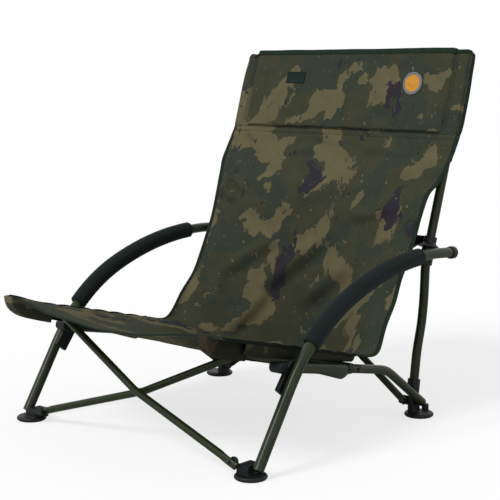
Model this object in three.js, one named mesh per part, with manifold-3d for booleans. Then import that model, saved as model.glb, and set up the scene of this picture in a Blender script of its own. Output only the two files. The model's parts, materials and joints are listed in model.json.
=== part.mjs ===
// Low folding fishing chair: two rigid side frames joined by a crossed pair of tubes at the front
// and another at the back, with a cloth sling hung between the seat bars and the back posts.
// Millimetres, +Z up. The sitter faces -Y, so the sitter's left is +X. The origin lies on the
// floor, below the middle of the chair's outline.
import * as THREE from 'three';
import { mergeVertices } from 'three/addons/utils/BufferGeometryUtils.js';
import Module from 'manifold-3d';

const wasm = await Module();
wasm.setup();

// Fits
const touchGap = 0.3; // between pieces that touch
const runningGap = 0.5; // between pieces that slide or turn
const overrun = 2; // how far a cutting shape passes its piece

// Tubes, outer diameters
const legDiameter = 20;
const postDiameter = 18;
const railDiameter = 17;
const barDiameter = 17;
const crossDiameter = 14;

// Leg and arm: one bent tube a side, from the front foot over the seat to behind the back post
const legPlaneX = 300;
const legLeanShare = 0.013;
const legStartY = -256;
const legStartZ = 21;
const legRiseDeg = 57.5;
const legStraightLength = 143.9;
const elbowRadius = 354.4;
const elbowDeg = 34.7;
const armRadius = 643;
const armDeg = 27.8;
const armPastPost = 32; // from the middle of the post to the tube's rear end
const gripDiameter = 34;
const gripAboveBracket = 20; // leg left bare between the leg bracket and the grip
const gripBeforeCrossing = 83; // arm left bare between the grip and the middle of the post
const capDiameter = 25;
const capLength = 13;
const capWall = 2;

// Side rail: from the leg bracket back and down to the rear foot
const railX = 270;
const railFrontY = -168;
const railFrontZ = 175.7;
const railFallDeg = 11.2;
const railStraightLength = 302;
const railBendRadius = 90;
const railBendDeg = 24.2;
const railTailLength = 132;
const railCollarWall = 2.2;
const railCollarLength = 14;
const railCollarAt = 190; // along the rail from its front end

// Seat bar: carries the side of the seat, turns about its rear pin and rests on the bracket's ear
const barSideGap = 3;
const barPivotAt = 224; // along the rail from its front end
const barTipY = -332;
const barTipZ = 240;
const barTailLength = 12;
const pocketWall = 3;
const pocketLength = 88;
const pocketDrop = 9; // below the bar, at its deepest
const pocketOverhang = 11; // in front of the bar's tip

// Back post: stands on the rail by the rear foot
const postFootX = 262;
const postLeanShare = 0.0215;
const postAboveRail = 8;
const postFootY = 250;
const postRiseDeg = 84;
const postStraightLength = 231;
const postBendRadius = 110;
const postBendDeg = 10.5;
const postLength = 660;
const postCollarDiameter = 25;
const postCollarLength = 17;
const clampDiameter = 26;
const clampLength = 34;
const clampBelowCrossing = 28.5; // from the clamp's lower end to where the arm passes the post
const clampBossDiameter = 14;
const sliderAbove = 5.5; // between the clamp and the slider, at rest
const sliderDiameter = 26;
const sliderEarThickness = 2.5;
const sliderLength = 17;

// Feet
const footDiameter = 58;
const footThickness = 8;
const footChamfer = 2.5;
const footBossDepth = 26;
const footPinFromTubeEnd = 10;
const frontFootY = -262;
const frontFootInset = 14; // of the disc's middle, inwards from the tube
const rearFootY = 262;
const rearFootInset = 2;
const earThickness = 5;
const earReach = 9;
const footLugRadius = 7;
const footLugHeight = 20;

// Cross tubes, front pair: lower ends at the front feet, upper ends at the seat bars
const frontLowX = 254;
const frontLowY = -269;
const frontLowZ = 24.5;
const frontLeanDeg = 16.9;
const frontCrossRise = 80;
const frontHighX = 233;
const crossBendRadius = 90;
const crossTubeLowTail = 6;
const crossTubeHighTail = 5;

// Cross tubes, rear pair: lower ends at the rear feet, upper ends at the sliders
const rearLowX = 240;
const rearLowY = 258;
const rearLowZ = 28;
const rearHighX = 238;

// Leg bracket
const bracketThickness = 9;
const bracketWidth = 28;
const bracketFrom = 131; // along the leg from its lower end
const bracketTo = 212;
const saddleRadius = 11;
const saddleY = -182;
const saddleGap = 0.6;

// Fasteners
const boltDiameter = 11;
const boltHeight = 3;

// Cloth
const clothThickness = 3;
const seatHalfWidth = 276;
const seatFrontY = -340;
const seatFrontZ = 254;
const seatRearY = 99;
const seatRearZ = 147;
const seatFrontSag = 22;
const seatRearSag = 89;
const seatRearReach = 122; // how much farther back the seat ends in its middle
const backHalfWidth = 290;
const backTopY = 386;
const backTopZ = 712;
const backTopHollow = 5;
const sleeveFrom = 452; // along the post from its foot
const sleeveWall = 2.6;
const sleeveTop = 5;
const headrestThickness = 3;

// Facets
const tubeSides = 12;
const bendStepDeg = 6;
const bendFlatness = 0.1; // between a bend and its facets
const sampleCount = 20; // samples of a line where it is searched for its nearest place
const narrowings = 5;
const seatCells = 14;
const backCells = 14;
const backRows = 22;
const headrestRows = 3; // of the back's rows, from its top

const olivePaint = () => new THREE.MeshStandardMaterial({ color: 0x3c4229, roughness: 0.42, metalness: 0.3 });
const blackPlastic = () => new THREE.MeshStandardMaterial({ color: 0x101314, roughness: 0.55, metalness: 0 });
const foamRubber = () => new THREE.MeshStandardMaterial({ color: 0x18201f, roughness: 0.9, metalness: 0 });
const camoCloth = () => new THREE.MeshStandardMaterial({ color: 0x45462f, roughness: 0.85, metalness: 0 });
const darkCloth = () => new THREE.MeshStandardMaterial({ color: 0x1c211c, roughness: 0.9, metalness: 0 });
const steel = () => new THREE.MeshStandardMaterial({ color: 0x5a5d58, roughness: 0.4, metalness: 0.8 });

const radians = THREE.MathUtils.degToRad;
const chair = new THREE.Group();
chair.name = 'folding_fishing_chair';

function addPart(name, geometry, material, group = chair) {
  const mesh = new THREE.Mesh(geometry, material);
  mesh.name = name;
  group.add(mesh);
  return mesh;
}

// Solids for joining and cutting
function toSolid(geometry) {
  const bare = geometry.clone();
  bare.deleteAttribute('normal');
  bare.deleteAttribute('uv');
  const merged = mergeVertices(bare, 1e-4);
  const mesh = new wasm.Mesh({
    numProp: 3,
    vertProperties: new Float32Array(merged.attributes.position.array),
    triVerts: new Uint32Array(merged.index.array),
  });
  return new wasm.Manifold(mesh);
}

function toGeometry(solid) {
  const mesh = solid.getMesh();
  const geometry = new THREE.BufferGeometry();
  geometry.setAttribute('position', new THREE.BufferAttribute(new Float32Array(mesh.vertProperties), 3));
  geometry.setIndex(new THREE.BufferAttribute(new Uint32Array(mesh.triVerts), 1));
  geometry.computeVertexNormals();
  return geometry;
}

function join(...geometries) {
  return toGeometry(geometries.map(toSolid).reduce((whole, piece) => whole.add(piece)));
}

function cut(geometry, ...tools) {
  return toGeometry(tools.map(toSolid).reduce((whole, tool) => whole.subtract(tool), toSolid(geometry)));
}

// A line in a chair's side plane, made of straights and bends laid end to end. The plane leans
// outwards with height, and the line can be walked by its length.
class SidePath {
  constructor({ side, planeX, leanShare = 0, startY, startZ, headingDeg, pieces }) {
    Object.assign(this, { side, planeX, leanShare, startZ });
    this.runs = [];
    let y = startY;
    let z = startZ;
    let heading = radians(headingDeg);
    for (const piece of pieces) {
      const turn = radians(piece.turnDeg ?? 0);
      const length = piece.length ?? piece.radius * Math.abs(turn);
      this.runs.push({ y, z, heading, turn, length });
      const chord = turn ? (2 * length * Math.sin(turn / 2)) / turn : length;
      y += chord * Math.cos(heading + turn / 2);
      z += chord * Math.sin(heading + turn / 2);
      heading += turn;
    }
    this.length = this.runs.reduce((sum, run) => sum + run.length, 0);
  }

  // Place and direction at a distance along the line; beyond its ends the line runs straight on
  at(distance) {
    let rest = distance;
    let run = this.runs[0];
    for (const next of this.runs) {
      run = next;
      if (rest <= next.length || next === this.runs[this.runs.length - 1]) break;
      rest -= next.length;
    }
    const inside = run.turn ? THREE.MathUtils.clamp(rest, 0, run.length) : rest;
    const turned = (run.turn * inside) / run.length;
    const chord = turned ? (2 * inside * Math.sin(turned / 2)) / turned : inside;
    const over = rest - inside;
    const heading = run.heading + turned;
    const y = run.y + chord * Math.cos(run.heading + turned / 2) + over * Math.cos(heading);
    const z = run.z + chord * Math.sin(run.heading + turned / 2) + over * Math.sin(heading);
    const x = this.side * (this.planeX + this.leanShare * (z - this.startZ));
    const tangent = new THREE.Vector3(
      this.side * this.leanShare * Math.sin(heading),
      Math.cos(heading),
      Math.sin(heading),
    );
    return { point: new THREE.Vector3(x, y, z), tangent: tangent.normalize() };
  }

  // Stations from one distance to another, close together in bends only
  stations(from, to) {
    const marks = [from];
    let start = 0;
    for (const run of this.runs) {
      const finest = run.turn ? 2 * Math.acos(1 - (bendFlatness * Math.abs(run.turn)) / run.length) : 1;
      const steps = Math.max(1, Math.ceil(Math.abs(run.turn) / finest));
      for (let step = 0; step <= steps; step += 1) {
        const mark = start + (run.length * step) / steps;
        if (mark > from + touchGap && mark < to - touchGap && mark > marks[marks.length - 1] + touchGap) {
          marks.push(mark);
        }
      }
      start += run.length;
    }
    marks.push(to);
    return marks;
  }
}

// A closed skin through rings of points: each ring is joined to the next, and the ends are capped,
// or, with closed true, the last ring is joined to the first
function loftRings(rings, closed = false) {
  const count = rings[0].length;
  const positions = rings.flat().flatMap((point) => [point.x, point.y, point.z]);
  const index = [];
  const spans = closed ? rings.length : rings.length - 1;
  for (let ring = 0; ring < spans; ring += 1) {
    const next = (ring + 1) % rings.length;
    for (let side = 0; side < count; side += 1) {
      const turn = (side + 1) % count;
      const a = ring * count + side;
      const b = ring * count + turn;
      const c = next * count + turn;
      const d = next * count + side;
      index.push(a, b, c, a, c, d);
    }
  }
  if (!closed) {
    const last = (rings.length - 1) * count;
    for (let side = 1; side < count - 1; side += 1) {
      index.push(0, side + 1, side);
      index.push(last, last + side, last + side + 1);
    }
  }
  const geometry = new THREE.BufferGeometry();
  geometry.setAttribute('position', new THREE.Float32BufferAttribute(positions, 3));
  geometry.setIndex(index);
  geometry.computeVertexNormals();
  return geometry;
}

// A ring of points round a station; across is the sideways direction of the section
function ringAt({ point, tangent }, radius, across = new THREE.Vector3(1, 0, 0), sides = tubeSides) {
  const up = new THREE.Vector3().crossVectors(tangent, across).normalize();
  const out = new THREE.Vector3().crossVectors(up, tangent).normalize();
  return Array.from({ length: sides }, (_, corner) => {
    const angle = (2 * Math.PI * corner) / sides;
    return point
      .clone()
      .addScaledVector(out, radius * Math.cos(angle))
      .addScaledVector(up, radius * Math.sin(angle));
  });
}

function tubeAlong(path, from, to, diameter, sides = tubeSides) {
  const across = new THREE.Vector3(1, 0, 0);
  return loftRings(path.stations(from, to).map((mark) => ringAt(path.at(mark), diameter / 2, across, sides)));
}

// A hollow sleeve round a path, open at both ends
function sleeveAlong(path, from, to, outerDiameter, boreDiameter, sides = tubeSides) {
  const outer = tubeAlong(path, from, to, outerDiameter, sides);
  const bore = tubeAlong(path, from - overrun, to + overrun, boreDiameter, sides);
  return cut(outer, bore);
}

function cylinderBetween(start, end, diameter, sides = tubeSides) {
  const length = start.distanceTo(end);
  const geometry = new THREE.CylinderGeometry(diameter / 2, diameter / 2, length, sides);
  const direction = end.clone().sub(start).normalize();
  geometry.applyQuaternion(new THREE.Quaternion().setFromUnitVectors(new THREE.Vector3(0, 1, 0), direction));
  const middle = start.clone().add(end).multiplyScalar(1 / 2);
  return geometry.translate(middle.x, middle.y, middle.z);
}

function boxBetween(lowX, lowY, lowZ, highX, highY, highZ) {
  const geometry = new THREE.BoxGeometry(Math.abs(highX - lowX), Math.abs(highY - lowY), Math.abs(highZ - lowZ));
  return geometry.translate((lowX + highX) / 2, (lowY + highY) / 2, (lowZ + highZ) / 2);
}

// The lines of one side frame
function legPath(side) {
  return new SidePath({
    side,
    planeX: legPlaneX,
    leanShare: legLeanShare,
    startY: legStartY,
    startZ: legStartZ,
    headingDeg: legRiseDeg,
    pieces: [
      { length: legStraightLength },
      { radius: elbowRadius, turnDeg: -elbowDeg },
      { radius: armRadius, turnDeg: -armDeg },
      { length: postLength }, // straight on, further than any tube end
    ],
  });
}

function railPath(side) {
  return new SidePath({
    side,
    planeX: railX,
    startY: railFrontY,
    startZ: railFrontZ,
    headingDeg: -railFallDeg,
    pieces: [{ length: railStraightLength }, { radius: railBendRadius, turnDeg: -railBendDeg }, { length: railTailLength }],
  });
}

const barX = railX - railDiameter / 2 - barDiameter / 2 - barSideGap;
const barPivot = railPath(1).at(barPivotAt).point;
const barHeading = Math.atan2(barPivot.z - barTipZ, barPivot.y - barTipY);
const barLength = Math.hypot(barPivot.y - barTipY, barPivot.z - barTipZ);

function barPath(side) {
  return new SidePath({
    side,
    planeX: barX,
    startY: barTipY,
    startZ: barTipZ,
    headingDeg: THREE.MathUtils.radToDeg(barHeading),
    pieces: [{ length: barLength + barTailLength }],
  });
}

// The height of the rail's upper side under the post
function railTopAt(y) {
  const path = railPath(1);
  const { point, tangent } = path.at(path.length);
  const slope = tangent.z / tangent.y;
  return point.z + slope * (y - point.y) + railDiameter / 2 / tangent.y;
}

const postFootZ = railTopAt(postFootY) + postAboveRail;

function postPath(side) {
  return new SidePath({
    side,
    planeX: postFootX,
    leanShare: postLeanShare,
    startY: postFootY,
    startZ: postFootZ,
    headingDeg: postRiseDeg,
    pieces: [
      { length: postStraightLength },
      { radius: postBendRadius, turnDeg: -postBendDeg },
      { length: postLength - postStraightLength - postBendRadius * radians(postBendDeg) },
    ],
  });
}

function addLegAndArm(side, hand) {
  const path = legPath(side);
  const gripStart = bracketTo + gripAboveBracket;
  const crossing = nearestMark(path, postPath(side));
  const gripEnd = crossing - gripBeforeCrossing;
  const tubeEnd = crossing + armPastPost;
  const boreDiameter = legDiameter + 2 * touchGap;
  addPart(`leg_arm_tube_${hand}`, tubeAlong(path, 0, tubeEnd, legDiameter), olivePaint());
  addPart(`arm_grip_${hand}`, sleeveAlong(path, gripStart, gripEnd, gripDiameter, boreDiameter), foamRubber());
  const capEnd = tubeEnd + capWall;
  const cap = cut(
    tubeAlong(path, capEnd - capLength, capEnd, capDiameter),
    tubeAlong(path, capEnd - capLength - overrun, tubeEnd + touchGap, boreDiameter),
  );
  addPart(`arm_end_cap_${hand}`, cap, blackPlastic());
}

function addRail(side, hand) {
  const path = railPath(side);
  addPart(`side_rail_${hand}`, tubeAlong(path, 0, path.length, railDiameter), olivePaint());
  const collarEnd = railCollarAt + railCollarLength;
  const collarDiameter = railDiameter + 2 * railCollarWall;
  const boreDiameter = railDiameter + 2 * touchGap;
  const collar = sleeveAlong(path, railCollarAt, collarEnd, collarDiameter, boreDiameter);
  addPart(`rail_collar_${hand}`, collar, blackPlastic());
}

function addSeatBar(side, hand) {
  const path = barPath(side);
  addPart(`seat_bar_${hand}`, tubeAlong(path, 0, path.length, barDiameter), olivePaint());
  addPart(`corner_pocket_${hand}`, cornerPocket(path, side), darkCloth());
  const pivot = barPivot.clone();
  pivot.x = side * (railX + railDiameter / 2 + touchGap);
  const head = pivot.clone().setX(pivot.x + side * boltHeight);
  addPart(`seat_bar_rivet_${hand}`, cylinderBetween(pivot, head, boltDiameter), steel());
  const inner = pivot.clone().setX(side * (barX + barDiameter / 2 + touchGap));
  const outerFace = pivot.clone().setX(side * (railX - railDiameter / 2 - touchGap));
  addPart(`seat_bar_spacer_${hand}`, cylinderBetween(inner, outerFace, boltDiameter), blackPlastic());
}

// The cloth pocket under a front corner of the seat, round the tip of the seat bar
function cornerPocket(path, side) {
  const half = barDiameter / 2 + pocketWall;
  const tip = path.at(0).point;
  const mouth = path.at(pocketLength).point;
  const front = tip.y - pocketOverhang;
  const seatAt = (y) => seatPoint(1, (y - seatFrontY) / (seatRearY - seatFrontY)).z - clothThickness / 2 - touchGap;
  const outline = new THREE.Shape();
  outline.moveTo(front, seatAt(front));
  outline.quadraticCurveTo(front, mouth.z, (tip.y + mouth.y) / 2, mouth.z - half);
  outline.lineTo(mouth.y, mouth.z - half - pocketDrop);
  outline.lineTo(mouth.y + pocketDrop, seatAt(mouth.y + pocketDrop));
  outline.closePath();
  const block = new THREE.ExtrudeGeometry(outline, { depth: 2 * half, bevelEnabled: false, curveSegments: 6 });
  block.rotateX(Math.PI / 2);
  block.rotateZ(Math.PI / 2);
  block.translate(side * barX - half, 0, 0);
  const bore = tubeAlong(path, -touchGap, pocketLength + 4 * pocketDrop, barDiameter + 2 * touchGap);
  return cut(block, bore);
}

function addLegBracket(side, hand) {
  const path = legPath(side);
  const low = path.at(bracketFrom);
  const high = path.at(bracketTo);
  const outerX = (station) => Math.abs(station.point.x) - legDiameter / 2 - touchGap;
  const faceX = Math.min(outerX(low), outerX(high));
  const innerX = faceX - bracketThickness;
  const length = bracketTo - bracketFrom;
  const plate = new THREE.BoxGeometry(faceX - innerX, length, bracketWidth);
  plate.rotateX(Math.atan2(high.point.z - low.point.z, high.point.y - low.point.y));
  const middle = low.point.clone().add(high.point).multiplyScalar(1 / 2);
  plate.translate((side * (faceX + innerX)) / 2, middle.y, middle.z);
  const rail = railPath(side);
  const bar = barPath(side);
  const share = (saddleY - barTipY) / (barPivot.y - barTipY);
  const barBottom = bar.at(barLength * share).point.z - barDiameter / 2 / Math.cos(barHeading);
  const saddleZ = barBottom - saddleRadius - saddleGap;
  const saddle = cylinderBetween(
    new THREE.Vector3(side * (barX - barDiameter / 2), saddleY, saddleZ),
    new THREE.Vector3(side * faceX, saddleY, saddleZ),
    2 * saddleRadius,
  );
  const web = boxBetween(side * innerX, saddleY, saddleZ - saddleRadius, side * faceX, middle.y, saddleZ);
  const railSpace = tubeAlong(rail, -overrun, bracketTo, railDiameter + 2 * touchGap);
  const barSpace = tubeAlong(bar, 0, bar.length, barDiameter + 2 * runningGap);
  addPart(`leg_bracket_${hand}`, cut(join(plate, saddle, web), railSpace, barSpace), blackPlastic());
}

function addPost(side, hand) {
  const path = postPath(side);
  const boreDiameter = postDiameter + 2 * touchGap;
  addPart(`back_post_${hand}`, tubeAlong(path, 0, path.length, postDiameter), olivePaint());
  const rail = railPath(side);
  const collar = cut(
    tubeAlong(path, -postAboveRail - overrun, postCollarLength, postCollarDiameter),
    tubeAlong(path, -touchGap, postCollarLength + overrun, boreDiameter),
    tubeAlong(rail, railStraightLength, rail.length + overrun, railDiameter + 2 * touchGap),
  );
  addPart(`post_foot_collar_${hand}`, collar, blackPlastic());
  const arm = legPath(side);
  const clampStart = nearestMark(path, arm) - clampBelowCrossing;
  const clampEnd = clampStart + clampLength;
  const middle = path.at(clampStart + clampLength / 2);
  const crossing = nearestMark(arm, path);
  const bossEnd = arm.at(crossing).point;
  bossEnd.x -= side * (legDiameter / 4);
  const bossStart = bossEnd.clone().setX(middle.point.x + (side * (clampDiameter + postDiameter)) / 4);
  const boss = cylinderBetween(bossStart, bossEnd, clampBossDiameter);
  const clamp = cut(
    join(tubeAlong(path, clampStart, clampEnd, clampDiameter), boss),
    tubeAlong(path, clampStart - overrun, clampEnd + legDiameter, boreDiameter),
    tubeAlong(arm, crossing - clampLength, crossing + clampLength, legDiameter + 2 * touchGap),
  );
  addPart(`arm_bracket_${hand}`, clamp, blackPlastic());
  const sliderStart = clampEnd + sliderAbove;
  const high = rearHighPoint();
  const ear = new THREE.BoxGeometry(postFootX - rearHighX + earReach, sliderEarThickness, 2 * earReach);
  ear.rotateX(-rearLean());
  ear.translate((side * (postFootX + rearHighX - earReach)) / 2, high.y, high.z);
  const slider = cut(
    join(tubeAlong(path, sliderStart, sliderStart + sliderLength, sliderDiameter), ear),
    tubeAlong(path, sliderStart - overrun, sliderStart + sliderLength + overrun, postDiameter + 2 * runningGap),
  );
  addPart(`post_slider_${hand}`, slider, blackPlastic());
}

// The distance along one line at which another line passes nearest to it, found by narrowing a
// span of samples round the nearest of them
function nearestMark(path, other) {
  const gapAt = (mark, span) => {
    const { point } = path.at(mark);
    return Math.min(...samples(span).map((otherMark) => point.distanceTo(other.at(otherMark).point)));
  };
  let low = 0;
  let high = path.length;
  let otherSpan = [0, other.length];
  for (let pass = 0; pass < narrowings; pass += 1) {
    const marks = samples([low, high]);
    const gaps = marks.map((mark) => gapAt(mark, otherSpan));
    const best = gaps.indexOf(Math.min(...gaps));
    low = marks[Math.max(best - 1, 0)];
    high = marks[Math.min(best + 1, marks.length - 1)];
    otherSpan = nearSpan(other, path.at(marks[best]).point, otherSpan);
  }
  return (low + high) / 2;
}

// The part of a span of a line round the sample that lies nearest to a point
function nearSpan(path, target, span) {
  const marks = samples(span);
  const gaps = marks.map((mark) => path.at(mark).point.distanceTo(target));
  const best = gaps.indexOf(Math.min(...gaps));
  return [marks[Math.max(best - 2, 0)], marks[Math.min(best + 2, marks.length - 1)]];
}

function samples([from, to]) {
  return Array.from({ length: sampleCount + 1 }, (_, at) => from + ((to - from) * at) / sampleCount);
}

function rearHighPoint() {
  const post = postPath(1);
  const clampStart = nearestMark(post, legPath(1)) - clampBelowCrossing;
  return post.at(clampStart + clampLength + sliderAbove + sliderLength / 2).point;
}

function rearLean() {
  const high = rearHighPoint();
  return Math.atan2(high.y - rearLowY, high.z - rearLowZ);
}

// A foot: a round disc with a boss beside the tube's end and an ear that the cross tube bolts to
function addFoot({ name, side, pin, tubeRadius, disc, ear, hasLug }) {
  const radius = footDiameter / 2;
  const profile = [
    [0, 0],
    [radius - footChamfer, 0],
    [radius, footChamfer],
    [radius, footThickness - footChamfer],
    [radius - footChamfer, footThickness],
    [0, footThickness],
  ].map(([r, z]) => new THREE.Vector2(r, z));
  const plate = new THREE.LatheGeometry(profile, 2 * tubeSides);
  plate.rotateX(Math.PI / 2);
  plate.translate(side * disc.x, disc.y, 0);
  const faceX = Math.abs(pin.x) - tubeRadius - touchGap;
  const bossX = ear.x + earReach + touchGap;
  const lift = footThickness - footChamfer;
  const halfBoss = footBossDepth / 2;
  const boss = cylinderBetween(
    new THREE.Vector3(side * bossX, pin.y, pin.z),
    new THREE.Vector3(side * faceX, pin.y, pin.z),
    footBossDepth,
  );
  const lowY = Math.min(pin.y - halfBoss, ear.y - earThickness);
  const pedestal = boxBetween(side * bossX, lowY, lift, side * faceX, pin.y + halfBoss, pin.z);
  const earLow = ear.x - earReach;
  const earHigh = bossX + earThickness;
  const tab = new THREE.BoxGeometry(earHigh - earLow, earThickness, 2 * earReach);
  tab.rotateX(-ear.lean);
  tab.translate((side * (earHigh + earLow)) / 2, ear.y, ear.z);
  const solids = [plate, boss, pedestal, tab];
  if (hasLug) {
    const lugY = disc.y + radius - footLugRadius;
    solids.push(cylinderBetween(
      new THREE.Vector3(side * disc.x, lugY, lift),
      new THREE.Vector3(side * disc.x, lugY, footLugHeight),
      2 * footLugRadius,
    ));
  }
  addPart(name, join(...solids), blackPlastic());
}

function addFeet(side, hand) {
  const legPin = legPath(side).at(footPinFromTubeEnd).point;
  addFoot({
    name: `front_foot_${hand}`,
    side,
    pin: legPin,
    tubeRadius: legDiameter / 2,
    disc: { x: legPlaneX - frontFootInset, y: frontFootY },
    ear: { x: frontLowX, y: frontLowY, z: frontLowZ, lean: radians(frontLeanDeg) },
    hasLug: false,
  });
  const rail = railPath(side);
  const railPin = rail.at(rail.length - footPinFromTubeEnd).point;
  addFoot({
    name: `rear_foot_${hand}`,
    side,
    pin: railPin,
    tubeRadius: railDiameter / 2,
    disc: { x: railX - rearFootInset, y: rearFootY },
    ear: { x: rearLowX, y: rearLowY, z: rearLowZ, lean: rearLean() },
    hasLug: true,
  });
}

// A cross tube in its own leaning plane: local X is sideways, local Z runs up the plane
function crossTube(lowX, crossRise, highX, totalRise) {
  const low = new THREE.Vector2(-lowX, 0);
  const middle = new THREE.Vector2(0, crossRise);
  const high = new THREE.Vector2(highX, totalRise);
  const into = middle.clone().sub(low).normalize();
  const outOf = high.clone().sub(middle).normalize();
  const turn = Math.atan2(into.x * outOf.y - into.y * outOf.x, into.dot(outOf));
  const tangentLength = crossBendRadius * Math.tan(Math.abs(turn) / 2);
  const lowEnd = low.clone().addScaledVector(into, -crossTubeLowTail);
  const highEnd = high.clone().addScaledVector(outOf, crossTubeHighTail);
  const points = [lowEnd];
  const steps = Math.max(1, Math.ceil(Math.abs(THREE.MathUtils.radToDeg(turn)) / bendStepDeg));
  if (tangentLength > touchGap) {
    const curve = new THREE.QuadraticBezierCurve(
      middle.clone().addScaledVector(into, -tangentLength),
      middle,
      middle.clone().addScaledVector(outOf, tangentLength),
    );
    points.push(...curve.getPoints(steps + 1));
  }
  points.push(highEnd);
  const rings = points.map((point, at) => {
    const before = points[Math.max(at - 1, 0)];
    const after = points[Math.min(at + 1, points.length - 1)];
    const tangent = new THREE.Vector3(after.x - before.x, 0, after.y - before.y).normalize();
    const station = { point: new THREE.Vector3(point.x, 0, point.y), tangent };
    return ringAt(station, crossDiameter / 2, new THREE.Vector3(0, 1, 0));
  });
  return loftRings(rings);
}

const crossOffset = earThickness / 2 + touchGap + crossDiameter / 2;

function addCrossPair(place, lowX, lowY, lowZ, leanRad, crossRise, highX, totalRise) {
  const plane = new THREE.Group();
  plane.position.set(0, lowY, lowZ);
  plane.rotation.x = -leanRad;
  chair.add(plane);
  const rightTube = crossTube(lowX, crossRise, highX, totalRise);
  addPart(`${place}_cross_tube_right`, rightTube, olivePaint(), plane).position.y = crossOffset;
  const leftTube = addPart(`${place}_cross_tube_left`, rightTube.clone(), olivePaint(), plane);
  leftTube.rotation.z = Math.PI;
  leftTube.position.y = -crossOffset;
  const spacerHalf = crossOffset - crossDiameter / 2 - touchGap;
  const spacer = cylinderBetween(
    new THREE.Vector3(0, -spacerHalf, crossRise),
    new THREE.Vector3(0, spacerHalf, crossRise),
    boltDiameter,
  );
  addPart(`${place}_cross_spacer`, spacer, blackPlastic(), plane);
  const boltStart = crossOffset + crossDiameter / 2 + touchGap;
  for (const [hand, side] of [['right', -1], ['left', 1]]) {
    const outward = -side; // the right tube lies behind the ears, the left tube in front of them
    const bolt = cylinderBetween(
      new THREE.Vector3(side * lowX, outward * boltStart, 0),
      new THREE.Vector3(side * lowX, outward * (boltStart + boltHeight), 0),
      boltDiameter,
    );
    addPart(`${place}_foot_bolt_${hand}`, bolt, steel(), plane);
  }
  return plane;
}

function frontTotalRise() {
  const lean = radians(frontLeanDeg);
  const slope = (barTipZ - barPivot.z) / (barTipY - barPivot.y);
  const barAtLow = barPivot.z + slope * (frontLowY - barPivot.y);
  return (barAtLow - frontLowZ) / (Math.cos(lean) - slope * Math.sin(lean));
}

function addCrossTubes() {
  const totalRise = frontTotalRise();
  const front = addCrossPair('front', frontLowX, frontLowY, frontLowZ, radians(frontLeanDeg), frontCrossRise,
    frontHighX, totalRise);
  const knuckleSpace = barX - barDiameter / 2 - touchGap;
  for (const [hand, side] of [['right', 1], ['left', -1]]) {
    const from = side * (crossOffset - crossDiameter / 2 - touchGap);
    const knuckle = cylinderBetween(
      new THREE.Vector3(side * frontHighX, -from, totalRise),
      new THREE.Vector3(side * frontHighX, from, totalRise),
      2 * (knuckleSpace - frontHighX),
    );
    addPart(`front_cross_knuckle_${hand}`, knuckle, blackPlastic(), front);
  }
  const high = rearHighPoint();
  const rearRise = Math.hypot(high.y - rearLowY, high.z - rearLowZ);
  const rearCross = (rearRise * rearLowX) / (rearLowX + rearHighX);
  addCrossPair('rear', rearLowX, rearLowY, rearLowZ, rearLean(), rearCross, rearHighX, rearRise);
}

// Cloth: a sheet given by a grid of middle points, thickened along its normals into a closed solid
function clothSheet(columns, rows, pointAt, thickness) {
  const normalAt = (u, v) => {
    const small = 1 / 1000;
    const du = pointAt(Math.min(u + small, 1), v).sub(pointAt(Math.max(u - small, 0), v));
    const dv = pointAt(u, Math.min(v + small, 1)).sub(pointAt(u, Math.max(v - small, 0)));
    return du.cross(dv).normalize();
  };
  const rings = [];
  for (let column = 0; column <= columns; column += 1) {
    const u = column / columns;
    const top = [];
    const bottom = [];
    for (let row = 0; row <= rows; row += 1) {
      const v = row / rows;
      const middle = pointAt(u, v);
      const normal = normalAt(u, v);
      top.push(middle.clone().addScaledVector(normal, thickness / 2));
      bottom.push(middle.clone().addScaledVector(normal, -thickness / 2));
    }
    rings.push([...bottom, ...top.reverse()]);
  }
  return stripLoft(rings, rows);
}

// Rings of a flat strip: the end caps are quads between its two faces
function stripLoft(rings, rows) {
  const count = rings[0].length;
  const geometry = loftRings(rings, false);
  const index = Array.from(geometry.index.array).slice(0, (rings.length - 1) * count * 6);
  const last = (rings.length - 1) * count;
  for (let row = 0; row < rows; row += 1) {
    const low = row;
    const high = count - 1 - row;
    index.push(low, high, high - 1, low, high - 1, low + 1);
    index.push(last + low, last + high - 1, last + high, last + low, last + low + 1, last + high - 1);
  }
  geometry.setIndex(index);
  geometry.computeVertexNormals();
  return geometry;
}

// Sag across the width: none outside the seat bars, most in the middle
function sagShare(x) {
  const inner = barX - barDiameter / 2 - runningGap;
  return Math.max(0, 1 - (x / inner) ** 2) ** (3 / 2);
}

function seatPoint(u, v) {
  const x = (2 * u - 1) * seatHalfWidth;
  const rear = seatRearY + seatRearReach * sagShare(x);
  const y = seatFrontY + (rear - seatFrontY) * v;
  const edge = seatFrontZ + (seatRearZ - seatFrontZ) * v;
  const deepest = seatFrontSag + (seatRearSag - seatFrontSag) * v;
  return new THREE.Vector3(x, y, edge - deepest * sagShare(x));
}

// The back's side edge, at even steps of the cloth from the seat to the top: shares of its height,
// of its rearward reach and of its half width
const backHeightShares = [0, 0.084, 0.156, 0.227, 0.299, 0.37, 0.442, 0.513, 0.585, 0.657, 0.8, 1];
const backReachShares = [0, 0.127, 0.248, 0.324, 0.405, 0.475, 0.53, 0.591, 0.695, 0.82, 0.91, 1];
const backWidthShares = [0.962, 0.938, 0.924, 0.917, 0.924, 0.929, 0.934, 0.95, 0.993, 0.993, 0.986, 0.979];
const backSteps = backHeightShares.length - 1;

function shareAt(shares, v) {
  const place = v * backSteps;
  const lower = Math.min(Math.floor(place), backSteps - 1);
  return THREE.MathUtils.lerp(shares[lower], shares[lower + 1], place - lower);
}

// The front of a post sleeve at a height
function sleeveFrontAt(z) {
  const path = postPath(1);
  const { point, tangent } = path.at(path.length);
  const axisY = point.y + ((z - point.z) * tangent.y) / tangent.z;
  return axisY - (postDiameter / 2 + touchGap + sleeveWall) / tangent.z;
}

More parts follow.
